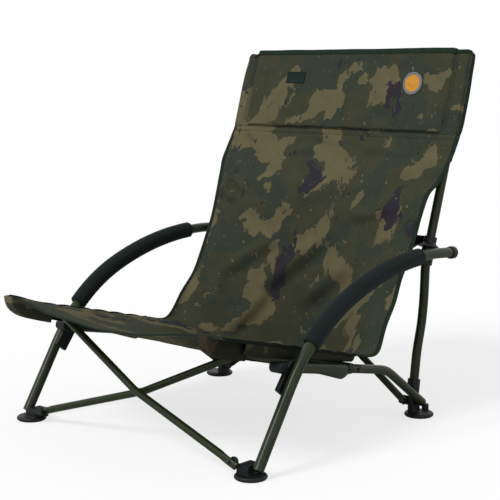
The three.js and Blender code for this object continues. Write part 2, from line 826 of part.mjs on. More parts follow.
function backPoint(u, v) {
  const x = (2 * u - 1) * backHalfWidth * shareAt(backWidthShares, v);
  const lowY = seatRearY + 2 * clothThickness;
  const lowZ = seatRearZ + 2 * clothThickness;
  const z = THREE.MathUtils.lerp(lowZ, backTopZ, shareAt(backHeightShares, v));
  const free = THREE.MathUtils.lerp(lowY, backTopY, shareAt(backReachShares, v));
  const y = Math.min(free, sleeveFrontAt(z) - clothThickness / 2 - runningGap);
  const hollow = backTopHollow + (seatRearReach - backTopHollow) * (1 - v) ** 3;
  const drop = seatRearSag * (1 - v) ** 3;
  return new THREE.Vector3(x, y + hollow * sagShare(x), z - drop * sagShare(x));
}

// The headrest lies in front of the top of the back, facet on facet
function headrestPoint(u, v) {
  const high = 1 - headrestRows / backRows;
  const back = backPoint(u, THREE.MathUtils.lerp(high, 1, v));
  back.y -= clothThickness / 2 + headrestThickness / 2 + runningGap;
  return back;
}

function addCloth() {
  addPart('seat_sling', clothSheet(seatCells, seatCells, seatPoint, clothThickness), camoCloth());
  addPart('back_sling', clothSheet(backCells, backRows, backPoint, clothThickness), camoCloth());
  addPart('headrest', clothSheet(backCells, headrestRows, headrestPoint, headrestThickness), camoCloth());
}

// A cloth sleeve over the top of a back post, closed above it
function addSleeve(side, hand) {
  const path = postPath(side);
  const boreDiameter = postDiameter + 2 * touchGap;
  const sleeve = cut(
    tubeAlong(path, sleeveFrom, path.length + sleeveTop, boreDiameter + 2 * sleeveWall),
    tubeAlong(path, sleeveFrom - overrun, path.length + touchGap, boreDiameter),
  );
  addPart(`post_sleeve_${hand}`, sleeve, camoCloth());
}

for (const [hand, side] of [['right', -1], ['left', 1]]) {
  addLegAndArm(side, hand);
  addRail(side, hand);
  addSeatBar(side, hand);
  addLegBracket(side, hand);
  addPost(side, hand);
  addSleeve(side, hand);
  addFeet(side, hand);
}
addCrossTubes();
addCloth();

const outline = new THREE.Box3().setFromObject(chair, true);
const middleY = (outline.min.y + outline.max.y) / 2;
for (const piece of chair.children) piece.position.y -= middleY;

export default chair;
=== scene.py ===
"""Low folding fishing chair: the looks of its frame, fittings and cloth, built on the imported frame."""
import bisect
import functools
import json
import math

import bpy
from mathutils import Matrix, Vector, noise

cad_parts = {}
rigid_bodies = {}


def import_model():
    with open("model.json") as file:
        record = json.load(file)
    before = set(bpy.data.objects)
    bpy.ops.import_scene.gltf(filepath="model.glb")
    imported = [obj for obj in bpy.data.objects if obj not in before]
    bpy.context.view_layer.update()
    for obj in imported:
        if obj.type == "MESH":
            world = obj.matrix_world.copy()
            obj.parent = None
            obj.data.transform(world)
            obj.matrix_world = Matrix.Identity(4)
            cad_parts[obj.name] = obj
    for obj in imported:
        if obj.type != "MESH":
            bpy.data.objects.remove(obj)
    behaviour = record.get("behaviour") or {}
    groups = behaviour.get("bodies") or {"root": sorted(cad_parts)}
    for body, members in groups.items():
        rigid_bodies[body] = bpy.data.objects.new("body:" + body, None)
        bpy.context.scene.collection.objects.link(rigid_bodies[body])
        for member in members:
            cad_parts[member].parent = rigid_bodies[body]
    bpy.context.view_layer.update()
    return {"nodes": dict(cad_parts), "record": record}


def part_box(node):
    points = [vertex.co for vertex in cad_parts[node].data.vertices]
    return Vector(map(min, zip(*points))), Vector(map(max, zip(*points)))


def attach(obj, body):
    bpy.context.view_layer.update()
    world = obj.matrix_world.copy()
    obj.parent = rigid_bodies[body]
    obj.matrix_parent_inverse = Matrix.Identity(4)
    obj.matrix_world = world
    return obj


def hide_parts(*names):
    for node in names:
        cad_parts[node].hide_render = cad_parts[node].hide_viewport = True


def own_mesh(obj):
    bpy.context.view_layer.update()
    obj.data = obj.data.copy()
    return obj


bl_info = {
    "name": "Folding fishing chair",
    "version": (1, 0, 0),
    "blender": (4, 5, 0),
    "location": "3D View > Sidebar > Chair",
    "description": "Builds the tubes, fittings, foam grips and cloth of a folding fishing chair",
    "category": "Add Mesh",
}

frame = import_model()

MM = 0.001
MERGE = 0.02 * MM
HANDS = (("right", -1), ("left", 1))
# The middle between the front and rear feet, which the chair's numbers are measured from
FEET_MIDDLE_Y = (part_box("front_foot_left")[0].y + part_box("rear_foot_left")[1].y) / 2

TUBE_RADII = {"leg_arm_tube": 10, "back_post": 9, "side_rail": 8.5, "seat_bar": 8.5, "front_cross_tube": 7,
              "rear_cross_tube": 7}
TUBE_SIDES = 12
LONG_EDGE, RINGS = 60 * MM, 31  # what counts as a straight length, and the rings that are added along it
MOULDED_KINDS = ("rear_foot", "arm_bracket", "rail_collar", "post_foot_collar", "arm_end_cap",
                 "seat_bar_spacer", "front_cross_knuckle")
FRONT_LEAN, REAR_LEAN, POST_LEAN = 16.9, 5.63, 16.5  # of the cross tubes' planes and the posts, in degrees
# Places and sizes of the fittings, in mm
FOOT_BOLT = (254, -269, 24.5)  # of the left front foot and its cross tube
FOOT_TOP_Z = 23
BRACKET_INSIDE_X, BRACKET_CUT = 266, 19  # where a leg bracket's inner side and its top are cut off
SKIRT_X, SKIRT_TOP_Z, SKIRT_HEIGHT = 268, 343, 9  # of a slider's flared skirt
RIVET_RADIUS, RIVET_HEIGHT = 5.2 * MM, 3 * MM

# Half width, depth and height in mm of the cloth's side edge, from the seat's front to the back's top
SEAT_EDGE = (
    (276, -340, 252.5), (276, -230, 227), (276, -110, 198), (276, 0, 170.5), (277, 60, 156.5),
    (277.5, 99, 149),
)
BACK_EDGE = (
    (278.5, 113, 155), (275, 124, 170), (272, 142, 200), (268, 176, 240), (266, 197, 280), (268, 219, 320),
    (269.5, 239, 360), (271.5, 254, 400), (276.5, 271, 440), (286.5, 288, 460), (292, 300, 480),
    (295.5, 328, 520), (297, 351, 560), (297.5, 365, 600), (297.5, 377, 640), (295.5, 391, 690),
    (294, 397.5, 717),
)
FRONT_Y = SEAT_EDGE[0][1]
BACK_ROWS_Z = (153, 200, 240, 280, 320, 360, 400, 440, 480, 520, 600, 717)
# Creases pressed into the back: start and end in mm (x, height), height and width of the ridge
BACK_CREASES = (
    (-215, 395, -262, 425, 5.5, 9), (-240, 470, -262, 400, 3.0, 10), (-120, 215, 40, 345, 4.0, 15),
    (-30, 190, 120, 300, 3.2, 16), (-200, 250, -90, 330, 3.0, 14), (60, 520, 190, 512, 2.4, 9),
    (-150, 505, -20, 512, 2.0, 9), (120, 440, 230, 500, 2.2, 14), (150, 250, 235, 330, 3.0, 14),
    (-245, 548, -190, 500, 3.2, 10), (210, 545, 262, 470, 2.6, 12), (-60, 400, 90, 470, 1.8, 18),
    (-250, 330, -190, 215, 3.4, 13), (255, 300, 190, 190, 3.0, 12), (40, 150, 90, 235, 3.0, 13),
    (-160, 130, -100, 210, 3.4, 13), (-90, 560, 60, 500, 2.0, 12), (80, 380, 215, 415, 2.4, 12),
)
# Places and sizes on the cloth, in mm
STITCH_X = 255  # of the rows of stitches beside the post sleeves
SEAM_ROWS = (-9, -21)  # rows of stitches below the headrest's seam, along the back
TIP_RISE = 7  # of the seat's right front corner
SAG_HALF, CLOTH_HALF = 241, 276  # half the width that sags between the seat bars, and half the seat's
PARTING = 78  # how far forward the seat and the back part in the middle
TAPE_DEPTH = 0.8  # of the binding's middle under the cloth's face
HEM_TOP_X, HEM_RAIL_X, HEM_BAR_X = 275, 262, 249  # of a side hem's top, and its foot at the rail and the bar
# What is sewn to the back, and to the seat: the body that carries it, the x that stays and the width kept
BACK = ("side_right", -0.277, 0.235)
SEAT = ("seat_bar_right", -0.25, 0.152)


# ---------------------------------------------------------------- sizes and colours

def length(name, description, default, least=0):
    return bpy.props.FloatProperty(name=name, description=description, default=default * MM, min=least * MM,
                                   unit="LENGTH")


def colour(name, description, default):
    return bpy.props.FloatVectorProperty(name=name, description=description, default=default, size=3, min=0,
                                         max=1, subtype="COLOR")


class ChairFrameLook(bpy.types.PropertyGroup):
    tube_bevel: length("Tube end rounding", "Rounding of the tubes' cut ends", 0.8)
    mould_detail: length("Moulding detail", "Smallest rounding kept on the moulded fittings", 0.8, 0.4)
    paint: colour("Paint", "Colour of the painted tubes", (0.0165, 0.0250, 0.0070))
    plastic: colour("Plastic", "Colour of the moulded fittings", (0.0055, 0.0075, 0.0075))
    foam: colour("Foam", "Colour of the arm grips", (0.0075, 0.0125, 0.0120))


class ChairClothLook(bpy.types.PropertyGroup):
    thickness: length("Cloth thickness", "Thickness of the seat and back cloth", 1.6, 0.2)
    wrinkle: length("Wrinkle depth", "Depth of the small creases in the cloth", 1.4)
    tape_width: length("Binding width", "How far the edge binding reaches over the cloth", 8, 2)
    olive: colour("Camouflage olive", "Ground colour of the cloth", (0.0445, 0.0470, 0.0275))
    green: colour("Camouflage green", "Grey-green of the cloth", (0.0340, 0.0430, 0.0300))
    tan: colour("Camouflage tan", "Light patches of the cloth", (0.122, 0.108, 0.058))
    dark: colour("Camouflage dark", "Dark patches of the cloth", (0.0230, 0.0205, 0.0300))
    binding: colour("Binding", "Colour of the edge binding", (0.012, 0.023, 0.015))


class ChairStageLook(bpy.types.PropertyGroup):
    focal_length: bpy.props.FloatProperty(
        name="Focal length", description="Camera focal length on a 36 mm sensor",
        default=98.98, min=10, unit="CAMERA")
    azimuth: bpy.props.FloatProperty(
        name="Azimuth", description="Camera direction round the chair, from its front",
        default=math.radians(41.39), subtype="ANGLE")
    elevation: bpy.props.FloatProperty(
        name="Elevation", description="Downward tilt of the camera",
        default=math.radians(8.24), subtype="ANGLE")
    position: bpy.props.FloatVectorProperty(
        name="Camera position", description="Place of the camera, measured from the middle of the feet",
        subtype="TRANSLATION", size=3, default=(1.7674, -1.9448, 0.7145))


# ---------------------------------------------------------------- mesh work

def clamp(value):
    return min(max(value, 0), 1)


def ramp(value, low, high):
    """A soft step from 0 at low to 1 at high."""
    t = clamp((value - low) / (high - low))
    return t * t * (3 - 2 * t)


def in_frame(x, y, z):
    return Vector((x * MM, y * MM + FEET_MIDDLE_Y, z * MM))


def turn_to(axis):
    return Vector((0, 0, 1)).rotation_difference(Vector(axis)).to_euler()


def lean_normal(degrees):
    """The direction square to a pair of cross tubes whose plane leans."""
    angle = math.radians(degrees)
    return Vector((0, math.cos(angle), -math.sin(angle)))


def activate(piece):
    bpy.ops.object.select_all(action="DESELECT")
    piece.select_set(True)
    bpy.context.view_layer.objects.active = piece


def settled():
    """The object that was just added, with its place put into its mesh, so that it stands at the origin."""
    piece = bpy.context.object
    activate(piece)
    bpy.ops.object.transform_apply(location=True, rotation=True, scale=True)
    return piece


def edit(piece, kind="VERT"):
    activate(piece)
    bpy.ops.object.mode_set(mode="EDIT")
    bpy.ops.mesh.select_mode(type=kind)
    bpy.ops.mesh.select_all(action="SELECT")


def leave_edit():
    bpy.ops.object.mode_set(mode="OBJECT")


def choose(piece, kind, wanted):
    """Goes into edit mode with only the faces or edges selected that the test holds for."""
    edit(piece, kind)
    bpy.ops.mesh.select_all(action="DESELECT")
    leave_edit()
    for item in piece.data.polygons if kind == "FACE" else piece.data.edges:
        item.select = bool(wanted(item))
    bpy.ops.object.mode_set(mode="EDIT")


def inset_faces(piece, wanted, steps):
    """Insets the wanted faces once for each (thickness, depth)."""
    choose(piece, "FACE", wanted)
    for thickness, depth in steps:
        bpy.ops.mesh.inset(thickness=thickness, depth=depth)
    leave_edit()


def make_consistent(piece):
    edit(piece)
    bpy.ops.mesh.normals_make_consistent(inside=False)
    leave_edit()


def close_ends(piece, kind):
    edit(piece, kind)
    bpy.ops.mesh.select_all(action="DESELECT")
    bpy.ops.mesh.select_non_manifold(extend=False)
    bpy.ops.mesh.edge_face_add()
    leave_edit()
    make_consistent(piece)


def apply_modifier(piece, kind, **settings):
    activate(piece)
    bpy.ops.object.modifier_add(type=kind)
    modifier = piece.modifiers[-1]
    for key, value in settings.items():
        setattr(modifier, key, value)
    bpy.ops.object.modifier_apply(modifier=modifier.name)


def bevel(piece, width, segments, degrees):
    apply_modifier(piece, "BEVEL", width=width, segments=segments, limit_method="ANGLE",
                   angle_limit=math.radians(degrees))


def smooth(piece, degrees=40):
    activate(piece)
    bpy.ops.object.shade_smooth_by_angle(angle=math.radians(degrees))


def set_cloth_map(mesh, places):
    """Lays the cloth UV map, in metres; places holds one (u, v) for each vertex."""
    layer = mesh.uv_layers.active or mesh.uv_layers.new(name="cloth")
    layer.name = "cloth"
    for loop in mesh.loops:
        layer.data[loop.index].uv = places[loop.vertex_index]


def finish_piece(piece, name, body, material, replaces=()):
    piece.name = piece.data.name = name
    piece.data.materials.clear()
    piece.data.materials.append(material)
    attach(piece, body)
    if replaces:
        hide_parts(*replaces)
    return piece


def body_of(node):
    return next(body for body, nodes in frame["record"]["behaviour"]["bodies"].items() if node in nodes)


def traced_copy(node):
    """A merged copy of a frame node, to model on."""
    piece = bpy.data.objects.new(node + "_copy", frame["nodes"][node].data.copy())
    bpy.context.scene.collection.objects.link(piece)
    edit(piece)
    bpy.ops.mesh.remove_doubles(threshold=MERGE)
    leave_edit()
    return piece


# ---------------------------------------------------------------- tubes

def end_faces(piece):
    """The faces of a tube's two caps: those whose corners all lie on one of its end rings."""
    points = [vertex.co for vertex in piece.data.vertices]
    faces = piece.data.polygons
    groups = {}
    for face in faces:
        groups.setdefault(tuple(round(c, 2) for c in face.normal), []).append(face.index)
    caps = set()
    for indices in groups.values():
        corners = {v for i in indices for v in faces[i].vertices}
        if len(indices) >= 4 and len(corners) == TUBE_SIDES and spread(points, corners) < 25 * MM:
            caps.update(indices)
    return caps


def spread(points, corners):
    middle = sum((points[i] for i in corners), Vector()) / len(corners)
    return max((points[i] - middle).length for i in corners)


def divide_lengths(piece):
    """Adds rings along a tube's straight lengths."""
    points = piece.data.vertices

    def long(edge):
        first, last = (points[index].co for index in edge.vertices)
        return (first - last).length > LONG_EDGE

    choose(piece, "EDGE", long)
    bpy.ops.mesh.subdivide(number_cuts=RINGS)
    leave_edit()


def round_tube(kind, hand, shape=None):
    """A tube with a truly round section: its caps are opened, its wall is refined, and its ends are closed.
    The shape moves its corners, which are first added along its straight lengths."""
    node = f"{kind}_{hand}"
    piece = traced_copy(node)
    edit(piece, "FACE")
    bpy.ops.mesh.tris_convert_to_quads(face_threshold=math.radians(50), shape_threshold=math.radians(180))
    leave_edit()
    ends = end_faces(piece)
    choose(piece, "FACE", lambda face: face.index in ends)
    bpy.ops.mesh.delete(type="FACE")
    bpy.ops.mesh.select_all(action="SELECT")
    shrink = (2 + math.cos(2 * math.pi / TUBE_SIDES)) / 3
    bpy.ops.transform.shrink_fatten(value=TUBE_RADII[kind] * MM * (1 / shrink - 1))
    leave_edit()
    if shape:
        divide_lengths(piece)
        for vertex in piece.data.vertices:
            vertex.co += shape(vertex.co)
    apply_modifier(piece, "SUBSURF", levels=2, render_levels=2)
    close_ends(piece, "EDGE")
    bevel(piece, bpy.context.scene.chair_frame.tube_bevel, 2, 60)
    smooth(piece, 35)
    return finish_piece(piece, node + "_tube", body_of(node), finish("paint"), [node])


def leg_foot(point):
    """Carries a leg's lower end down beside the foot."""
    return Vector((0, -4.0, -6.3)) * MM if point.z < 35 * MM else Vector()


def post_bow(point):
    """The shallow bow of a back post between its foot and the clamp."""
    z = point.z / MM
    return Vector((0, 7.5 * MM * ramp(z, 118, 200) * (1 - ramp(z, 215, 330)), 0))


def rail_front(point):
    """The deeper, oval front of a side rail, before its collar."""
    y = (point.y - FEET_MIDDLE_Y) / MM
    below = rail_top_z(y) - 8.7 - point.z / MM
    depth = 0.4 + 1.2 * clamp((y + 60) / 75)
    return Vector((0, 0, -depth * max(below, 0) * (1 - ramp(y, 13, 19)) * MM))


def bolt_place(side):
    x, y, z = FOOT_BOLT
    return in_frame(side * x, y, z)


def cross_end(point):
    """The flattened lower end of a front cross tube, drawn out past its bolt in front of the foot."""
    if point.z > 60 * MM:
        return Vector()
    side = math.copysign(1, point.x)
    reach = abs(point.x) / MM
    outward = lean_normal(FRONT_LEAN) * -side
    off = (point - bolt_place(side)).dot(outward) / MM
    flat = 0.5 * ramp(reach, 232, 246)
    drawn = 14 * ramp(reach, 246, 262)
    return (outward * (16.8 - off) * flat + Vector((side * 0.92, 0, -0.37)) * drawn) * MM


TUBE_SHAPES = {"leg_arm_tube": leg_foot, "back_post": post_bow, "side_rail": rail_front,
               "front_cross_tube": cross_end}


# ---------------------------------------------------------------- fittings

def moulded(node, material="plastic", suffix="_moulded", detail=None, relax=4, trim=(),
            more=None):
    """A moulded fitting: the node's shape, trimmed past each plane that is given and joined with what more
    there is, with every edge rounded off."""
    piece = traced_copy(node)
    for place, direction in trim:
        edit(piece)
        bpy.ops.mesh.bisect(plane_co=place, plane_no=direction, clear_outer=True, use_fill=True)
        leave_edit()
    activate(piece)
    if more:
        more.select_set(True)
        bpy.ops.object.join()
    detail = detail or bpy.context.scene.chair_frame.mould_detail
    apply_modifier(piece, "REMESH", mode="VOXEL", voxel_size=detail, adaptivity=0)
    apply_modifier(piece, "SMOOTH", factor=0.5, iterations=relax)
    activate(piece)
    bpy.ops.object.shade_smooth()
    return finish_piece(piece, node + suffix, body_of(node), finish(material), [node])


def foot_ear(side):
    """The round ear of a front foot, which the cross tube bolts to."""
    bpy.ops.mesh.primitive_cylinder_add(vertices=48, radius=9 * MM, depth=5 * MM, location=bolt_place(side),
                                        rotation=turn_to(lean_normal(FRONT_LEAN)))
    return settled()


def slider_skirt(side):
    """The flared skirt under a slider's collar, which stays behind the back cloth."""
    z = SKIRT_TOP_Z - SKIRT_HEIGHT / 2
    bpy.ops.mesh.primitive_cone_add(vertices=48, radius1=22.5 * MM, radius2=12 * MM, depth=SKIRT_HEIGHT * MM,
                                    location=in_frame(side * SKIRT_X, post_y(z), z),
                                    rotation=(-math.radians(POST_LEAN), 0, 0))
    return settled()


def rivet(node, axis):
    """A tubular rivet's rolled head over a node: a low disc with a rounded rim and a sunk middle."""
    low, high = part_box(node)
    bpy.ops.mesh.primitive_cylinder_add(vertices=40, radius=RIVET_RADIUS, depth=RIVET_HEIGHT,
                                        location=(low + high) / 2, rotation=turn_to(axis))
    piece = settled()
    inset_faces(piece, lambda face: face.normal.dot(axis) > 0.9,
                ((RIVET_RADIUS * 0.55, 0), (RIVET_RADIUS * 0.08, -RIVET_HEIGHT * 0.6)))
    bevel(piece, RIVET_HEIGHT * 0.35, 3, 40)
    smooth(piece)
    return finish_piece(piece, node + "_head", body_of(node), finish("steel"), [node])


# ---------------------------------------------------------------- curves of the cloth

def curve_at(points, share):
    """A smooth line through points, at a share of its steps."""
    steps = len(points) - 1
    place = clamp(share) * steps
    first = min(int(place), steps - 1)
    t = place - first
    p0, p1, p2, p3 = (points[min(max(first + k, 0), steps)] for k in (-1, 0, 1, 2))
    return Vector([
        0.5 * (2 * b + (c - a) * t + (2 * a - 5 * b + 4 * c - d) * t ** 2 + (3 * b - a - 3 * c + d) * t ** 3)
        for a, b, c, d in zip(p0, p1, p2, p3)
    ])


class EdgeLine:
    """A smooth line through points, walked by its length in the side view."""

    def __init__(self, points, fine=20):
        steps = fine * (len(points) - 1)
        self.points = [curve_at(points, step / steps) for step in range(steps + 1)]
        self.marks = [0.0]
        for a, b in zip(self.points, self.points[1:]):
            self.marks.append(self.marks[-1] + math.hypot(b.y - a.y, b.z - a.z))
        self.length = self.marks[-1]

    def at(self, mark):
        mark = min(max(mark, 0), self.length)
        index = min(max(bisect.bisect_left(self.marks, mark), 1), len(self.marks) - 1)
        low, high = self.marks[index - 1:index + 1]
        return self.points[index - 1].lerp(self.points[index], (mark - low) / (high - low))

    def mark_at(self, after=0.0, **least):
        """Where the line, after a mark, first reaches a depth y or a height z."""
        (axis, value), = least.items()
        return next(mark for mark, point in zip(self.marks, self.points)
                    if mark >= after and getattr(point, axis) >= value)


JUNCTION = EdgeLine(SEAT_EDGE).length
EDGE = EdgeLine(SEAT_EDGE + BACK_EDGE)
SPLIT = EDGE.mark_at(y=38)
SEAM = EDGE.mark_at(JUNCTION, z=560)


def post_y(z):
    """Depth in mm of the back post's middle line at a height."""
    return 275 + (z - 299) * 0.2962


def bar_z(y):
    """Height in mm of the seat bar's middle line at a depth."""
    return 240 - (y + 332) * 0.281


def rail_top_z(y):
    """Height in mm of the side rail's top at a depth."""
    return 184.4 - (y + 168) * 0.198


def across_share(x):
    """How far the cloth sags at x mm from its middle: none over the seat bars, all in the middle."""
    return max(0, 1 - (x / SAG_HALF) ** 2) ** 1.5


def ripple(x, y, z, size, seed=0):
    return noise.noise(Vector((x / size + seed, y / size, z / size)))


def row_share(z):
    """The share of the back's rows below a height in mm, which sets the depth of its hollow."""
    for row, (low, high) in enumerate(zip(BACK_ROWS_Z, BACK_ROWS_Z[1:])):
        if z <= high:
            return (row + max(0, z - low) / (high - low)) / (len(BACK_ROWS_Z) - 1)
    return 1


def corner_cut(x, half, radius):
    """How far a rounded corner draws back the cloth's end at x."""
    t = clamp((abs(x) - (half - radius)) / radius)
    return radius * (1 - math.sqrt(1 - t * t))


def taut_seat(across, mark, edge):
    """A point of the seat in mm, between its side edges."""
    x = across * edge.x
    sag = across_share(x)
    share = clamp((edge.y - FRONT_Y) / (SEAT_EDGE[-1][1] - FRONT_Y))
    cut = corner_cut(x, edge.x, 26) * (1 - ramp(mark, 0, 95))
    tip = TIP_RISE * ramp(-across, 0.4, 1) * (1 - ramp(mark, 0, 115))
    return Vector((x, edge.y + cut + 122 * sag * share, edge.z - (22 + 67 * share) * sag - cut * 0.22 + tip))


def taut_back(across, mark, edge):
    """A point of the back in mm, wrapped round the posts' fronts."""
    x = across * edge.x
    sag = across_share(x)
    front = min(edge.y, post_y(edge.z) - 13.2)
    over = max(0, (abs(x) - (edge.x - 24)) / 24)
    y = front + (edge.y - front) * (1 - math.sqrt(max(0, 1 - over ** 2)))
    rest = (1 - row_share(edge.z)) ** 3
    top = ramp(mark, EDGE.length - 60, EDGE.length)
    fall = (5.5 - x / 120) * ramp(abs(x), STITCH_X, STITCH_X + 9) + corner_cut(x, edge.x, 11)
    tilt = x / 85 * ramp(edge.z, 480, 717)
    return Vector((x, y + (5 + 117 * rest) * sag, edge.z - 89 * rest * sag - fall * top + tilt))


def taut_point(across, mark):
    """A point of the cloth in mm before its soft turn: across from -1 to 1, at a mark along its side edge."""
    return (taut_seat if mark < JUNCTION else taut_back)(across, mark, EDGE.at(mark))


TURN_WEIGHTS = ((-3, 1), (-2, 3), (-1, 6), (0, 7), (1, 6), (2, 3), (3, 1))


def sling_point(across, mark):
    """A point of the cloth in mm, with the soft turn from the seat into the back."""
    point = taut_point(across, mark)
    near = 1 - ramp(abs(mark - JUNCTION), 25, 130)
    if near <= 0:
        return point
    reach = 8 + 14 * across_share(across * 270)
    total = sum(weight for _, weight in TURN_WEIGHTS)
    soft = sum((taut_point(across, mark + step * reach) * weight for step, weight in TURN_WEIGHTS), Vector())
    return point.lerp(soft / total, near)


def normal_at(across, mark):
    """The outward normal of the cloth, on the sitter's side."""
    side = sling_point(min(across + 0.004, 1), mark) - sling_point(max(across - 0.004, -1), mark)
    forward = sling_point(across, min(mark + 1.5, EDGE.length)) - sling_point(across, max(mark - 1.5, 0))
    return side.cross(forward).normalized()


def crease_height(x, z, crease):
    x1, z1, x2, z2, height, width = crease
    along = Vector((x2 - x1, z2 - z1))
    off = Vector((x - x1, z - z1))
    ends = 1 - abs(2 * off.dot(along) / along.length_squared - 1)
    if ends <= -0.3:
        return 0
    gap = off.cross(along.normalized())
    ridge = math.exp(-(gap / width) ** 2) - 0.7 * math.exp(-((gap - 1.7 * width) / width) ** 2)
    return height * ridge * ramp(ends, -0.3, 0.5)


def seat_creasing(across, mark, point, depth, inner):
    x, y, _ = point
    along = mark / JUNCTION
    broad = ripple(x, y * 0.4, 0, 90, 2) * 2.2
    tension = ripple(x * 1.8 + y * 0.3, y * 0.25, 5, 60, 6) * 4.0 * ramp(along, 0.5, 0.95)
    fine = ripple(x * 0.5, y, 2, 30, 3) * depth * 0.7
    scallop = 2.4 * (abs(math.sin(math.pi * mark / 47)) - 0.6) * ramp(mark, 90, 150)
    scallop *= ramp(abs(across), 0.86, 1) * (1 - ramp(along, 0.85, 1))
    return (broad + tension + fine) * inner + scallop


def back_creasing(mark, point, depth, inner):
    x, _, z = point
    fan = ripple(x * 0.9 + z * 0.7, z * 0.35, 3, 70) * 5 * (1 - ramp(z, 140, 330))
    broad = ripple(x, z, 0, 120, 4) * 2.2
    fine = ripple(x + z * 0.4, z * 1.6, 9, 38, 8) * depth * 0.9
    pressed = 1.8 * sum(crease_height(x, z, crease) for crease in BACK_CREASES)
    puckers = 1.5 * math.sin(x / 9 + 3 * ripple(x, z, 7, 60)) * math.exp(-((mark - SEAM + 26) / 22) ** 2)
    groove = 2.0 * sum(math.exp(-((mark - SEAM - row) / 3.2) ** 2) for row in SEAM_ROWS)
    groove += 1.2 * math.exp(-((abs(x) - STITCH_X - 2.5) / 4) ** 2) * ramp(mark, SEAM - 5, SEAM + 5)
    return (fan + broad + fine + pressed + puckers * ripple(x, 0, 1, 80, 5)) * inner - groove


def creasing(across, mark, point):
    """Height in mm of the cloth's creases over its smooth shape."""
    depth = bpy.context.scene.chair_cloth.wrinkle / MM
    inner = ramp(1 - abs(across), 0.0, 0.12)
    if mark <= JUNCTION - 60:
        return seat_creasing(across, mark, point, depth, inner)
    back = back_creasing(mark, point, depth, inner)
    if mark >= JUNCTION + 5:
        return back
    seat = seat_creasing(across, mark, point, depth, inner)
    return seat + (back - seat) * ramp(mark, JUNCTION - 60, JUNCTION + 5)


def sling_surface(across, mark, lift=0.0):
    """A point of the creased cloth in mm, lifted off its face."""
    point = sling_point(across, mark)
    return point + normal_at(across, mark) * (creasing(across, mark, point) + lift)


def parting(across):
    """How far before the side edge's split the seat and the back part, in mm: near the seat bars' pins."""
    return PARTING * across_share(across * CLOTH_HALF)


def seat_mark(across, mark):
    return mark * (1 - parting(across) / SPLIT)


def back_mark(across, mark):
    return mark - parting(across) * (1 - clamp((mark - SPLIT) / 240))


def seat_point(across, mark):
    return sling_surface(across, seat_mark(across, mark))


def back_point(across, mark):
    """A point of the back in mm, whose lower end is tucked under the seat."""
    return sling_surface(across, back_mark(across, mark), -1.9 * (1 - ramp(mark, SPLIT, SPLIT + 7)))


def hem_point(side, across, mark):
    """A point of a side hem in mm, from the seat's edge down round the seat bar or in over the rail."""
    edge = sling_surface(side, mark)
    share = (across + 1) / 2
    wrap = 1 - ramp(edge.y, -212, -188)
    foot_x = HEM_RAIL_X + (HEM_BAR_X - HEM_RAIL_X) * wrap
    foot_z = (rail_top_z(edge.y) + 3.5) * (1 - wrap) + (bar_z(edge.y) - 11.5) * wrap
    x = HEM_TOP_X + (foot_x - HEM_TOP_X) * share ** 2.2
    z = edge.z - 0.6 + (foot_z - edge.z) * math.sin(share * math.pi / 2)
    crumple = ripple(edge.y, z * 2, side, 24, 6) * 1.3 * math.sin(share * math.pi)
    return Vector((side * (x + crumple), edge.y, z))


# The headrest's rolled lower edge, from its seam: distance up the back and height off it, in mm
LIP = ((0, 0.8), (-3, 1.2), (-5.5, 2.0), (-5.2, 3.6), (-2.5, 4.6), (3, 4.8))
LIP_STEP = 8
ROLLED = LIP_STEP * (len(LIP) - 1)
HEADREST_TOP = EDGE.length - 9
HEADREST_HALF = STITCH_X / 295


def headrest_point(across, drop, lift):
    """A point of the headrest in mm, at a distance above the seam and a height off the back."""
    x = across * STITCH_X
    mark = SEAM + drop
    side = ramp(1 - abs(across), 0, 0.025)
    slack = ripple(x, mark, 0, 70, 12) * 2.2 + ripple(x, mark * 2, 4, 26, 3) * 0.9 + 0.6
    slack *= ramp(drop, 10, 40) * ramp(HEADREST_TOP - mark, 0, 25)
    wave = ripple(x, 0, 3, 46, 5) * 2.4 * (1 - ramp(drop, 15, 60))
    place = min(SEAM + (drop + wave) * (side if drop + wave < 0 else 1), EDGE.length - 4)
    return sling_surface(across * HEADREST_HALF, place, 0.8 + (lift + slack) * side)


def headrest_lift(drop):
    return 3.0 * (1 - clamp(drop / (HEADREST_TOP - SEAM))) ** 1.3 + 1.8


def headrest_layer(across, mark):
    """The headrest, walked from its seam down round the rolled edge and up to the back's top."""
    if mark < SEAM + ROLLED:
        share = (mark - SEAM) / LIP_STEP
        step = min(int(share), len(LIP) - 2)
        (a, b), (c, d) = LIP[step:step + 2]
        return headrest_point(across, a + (c - a) * (share - step), b + (d - b) * (share - step))
    share = (mark - SEAM - ROLLED) / (HEADREST_TOP - SEAM - ROLLED)
    drop = LIP[-1][0] + (HEADREST_TOP - SEAM - LIP[-1][0]) * share
    return headrest_point(across, drop, headrest_lift(drop))


# ---------------------------------------------------------------- sheets, tapes and stitches

def cloth_grid(point_at, low, high, columns, rows, spread=0.35, middle=0.0, half=0.285, mark_at=None):
    """A grid laid on a surface between two marks, with a UV map in metres of flat cloth, half to each side
    of its middle, and along the marks, which mark_at may move."""
    bpy.ops.mesh.primitive_grid_add(x_subdivisions=columns, y_subdivisions=rows, size=2)
    piece = bpy.context.object
    flat = []
    for vertex in piece.data.vertices:
        across = math.sin(vertex.co.x * math.pi / 2) * spread + vertex.co.x * (1 - spread)
        mark = low + (high - low) * (vertex.co.y + 1) / 2
        along = mark_at(across, mark) if mark_at else mark
        flat.append((middle + across * half, along * MM))
        vertex.co = in_frame(*point_at(across, mark))
    set_cloth_map(piece.data, flat)
    piece.data.update()
    return piece


def run(start, end, steps):
    """Evenly spaced places between two (across, mark) places."""
    return [tuple(a + (b - a) * step / steps for a, b in zip(start, end)) for step in range(steps + 1)]


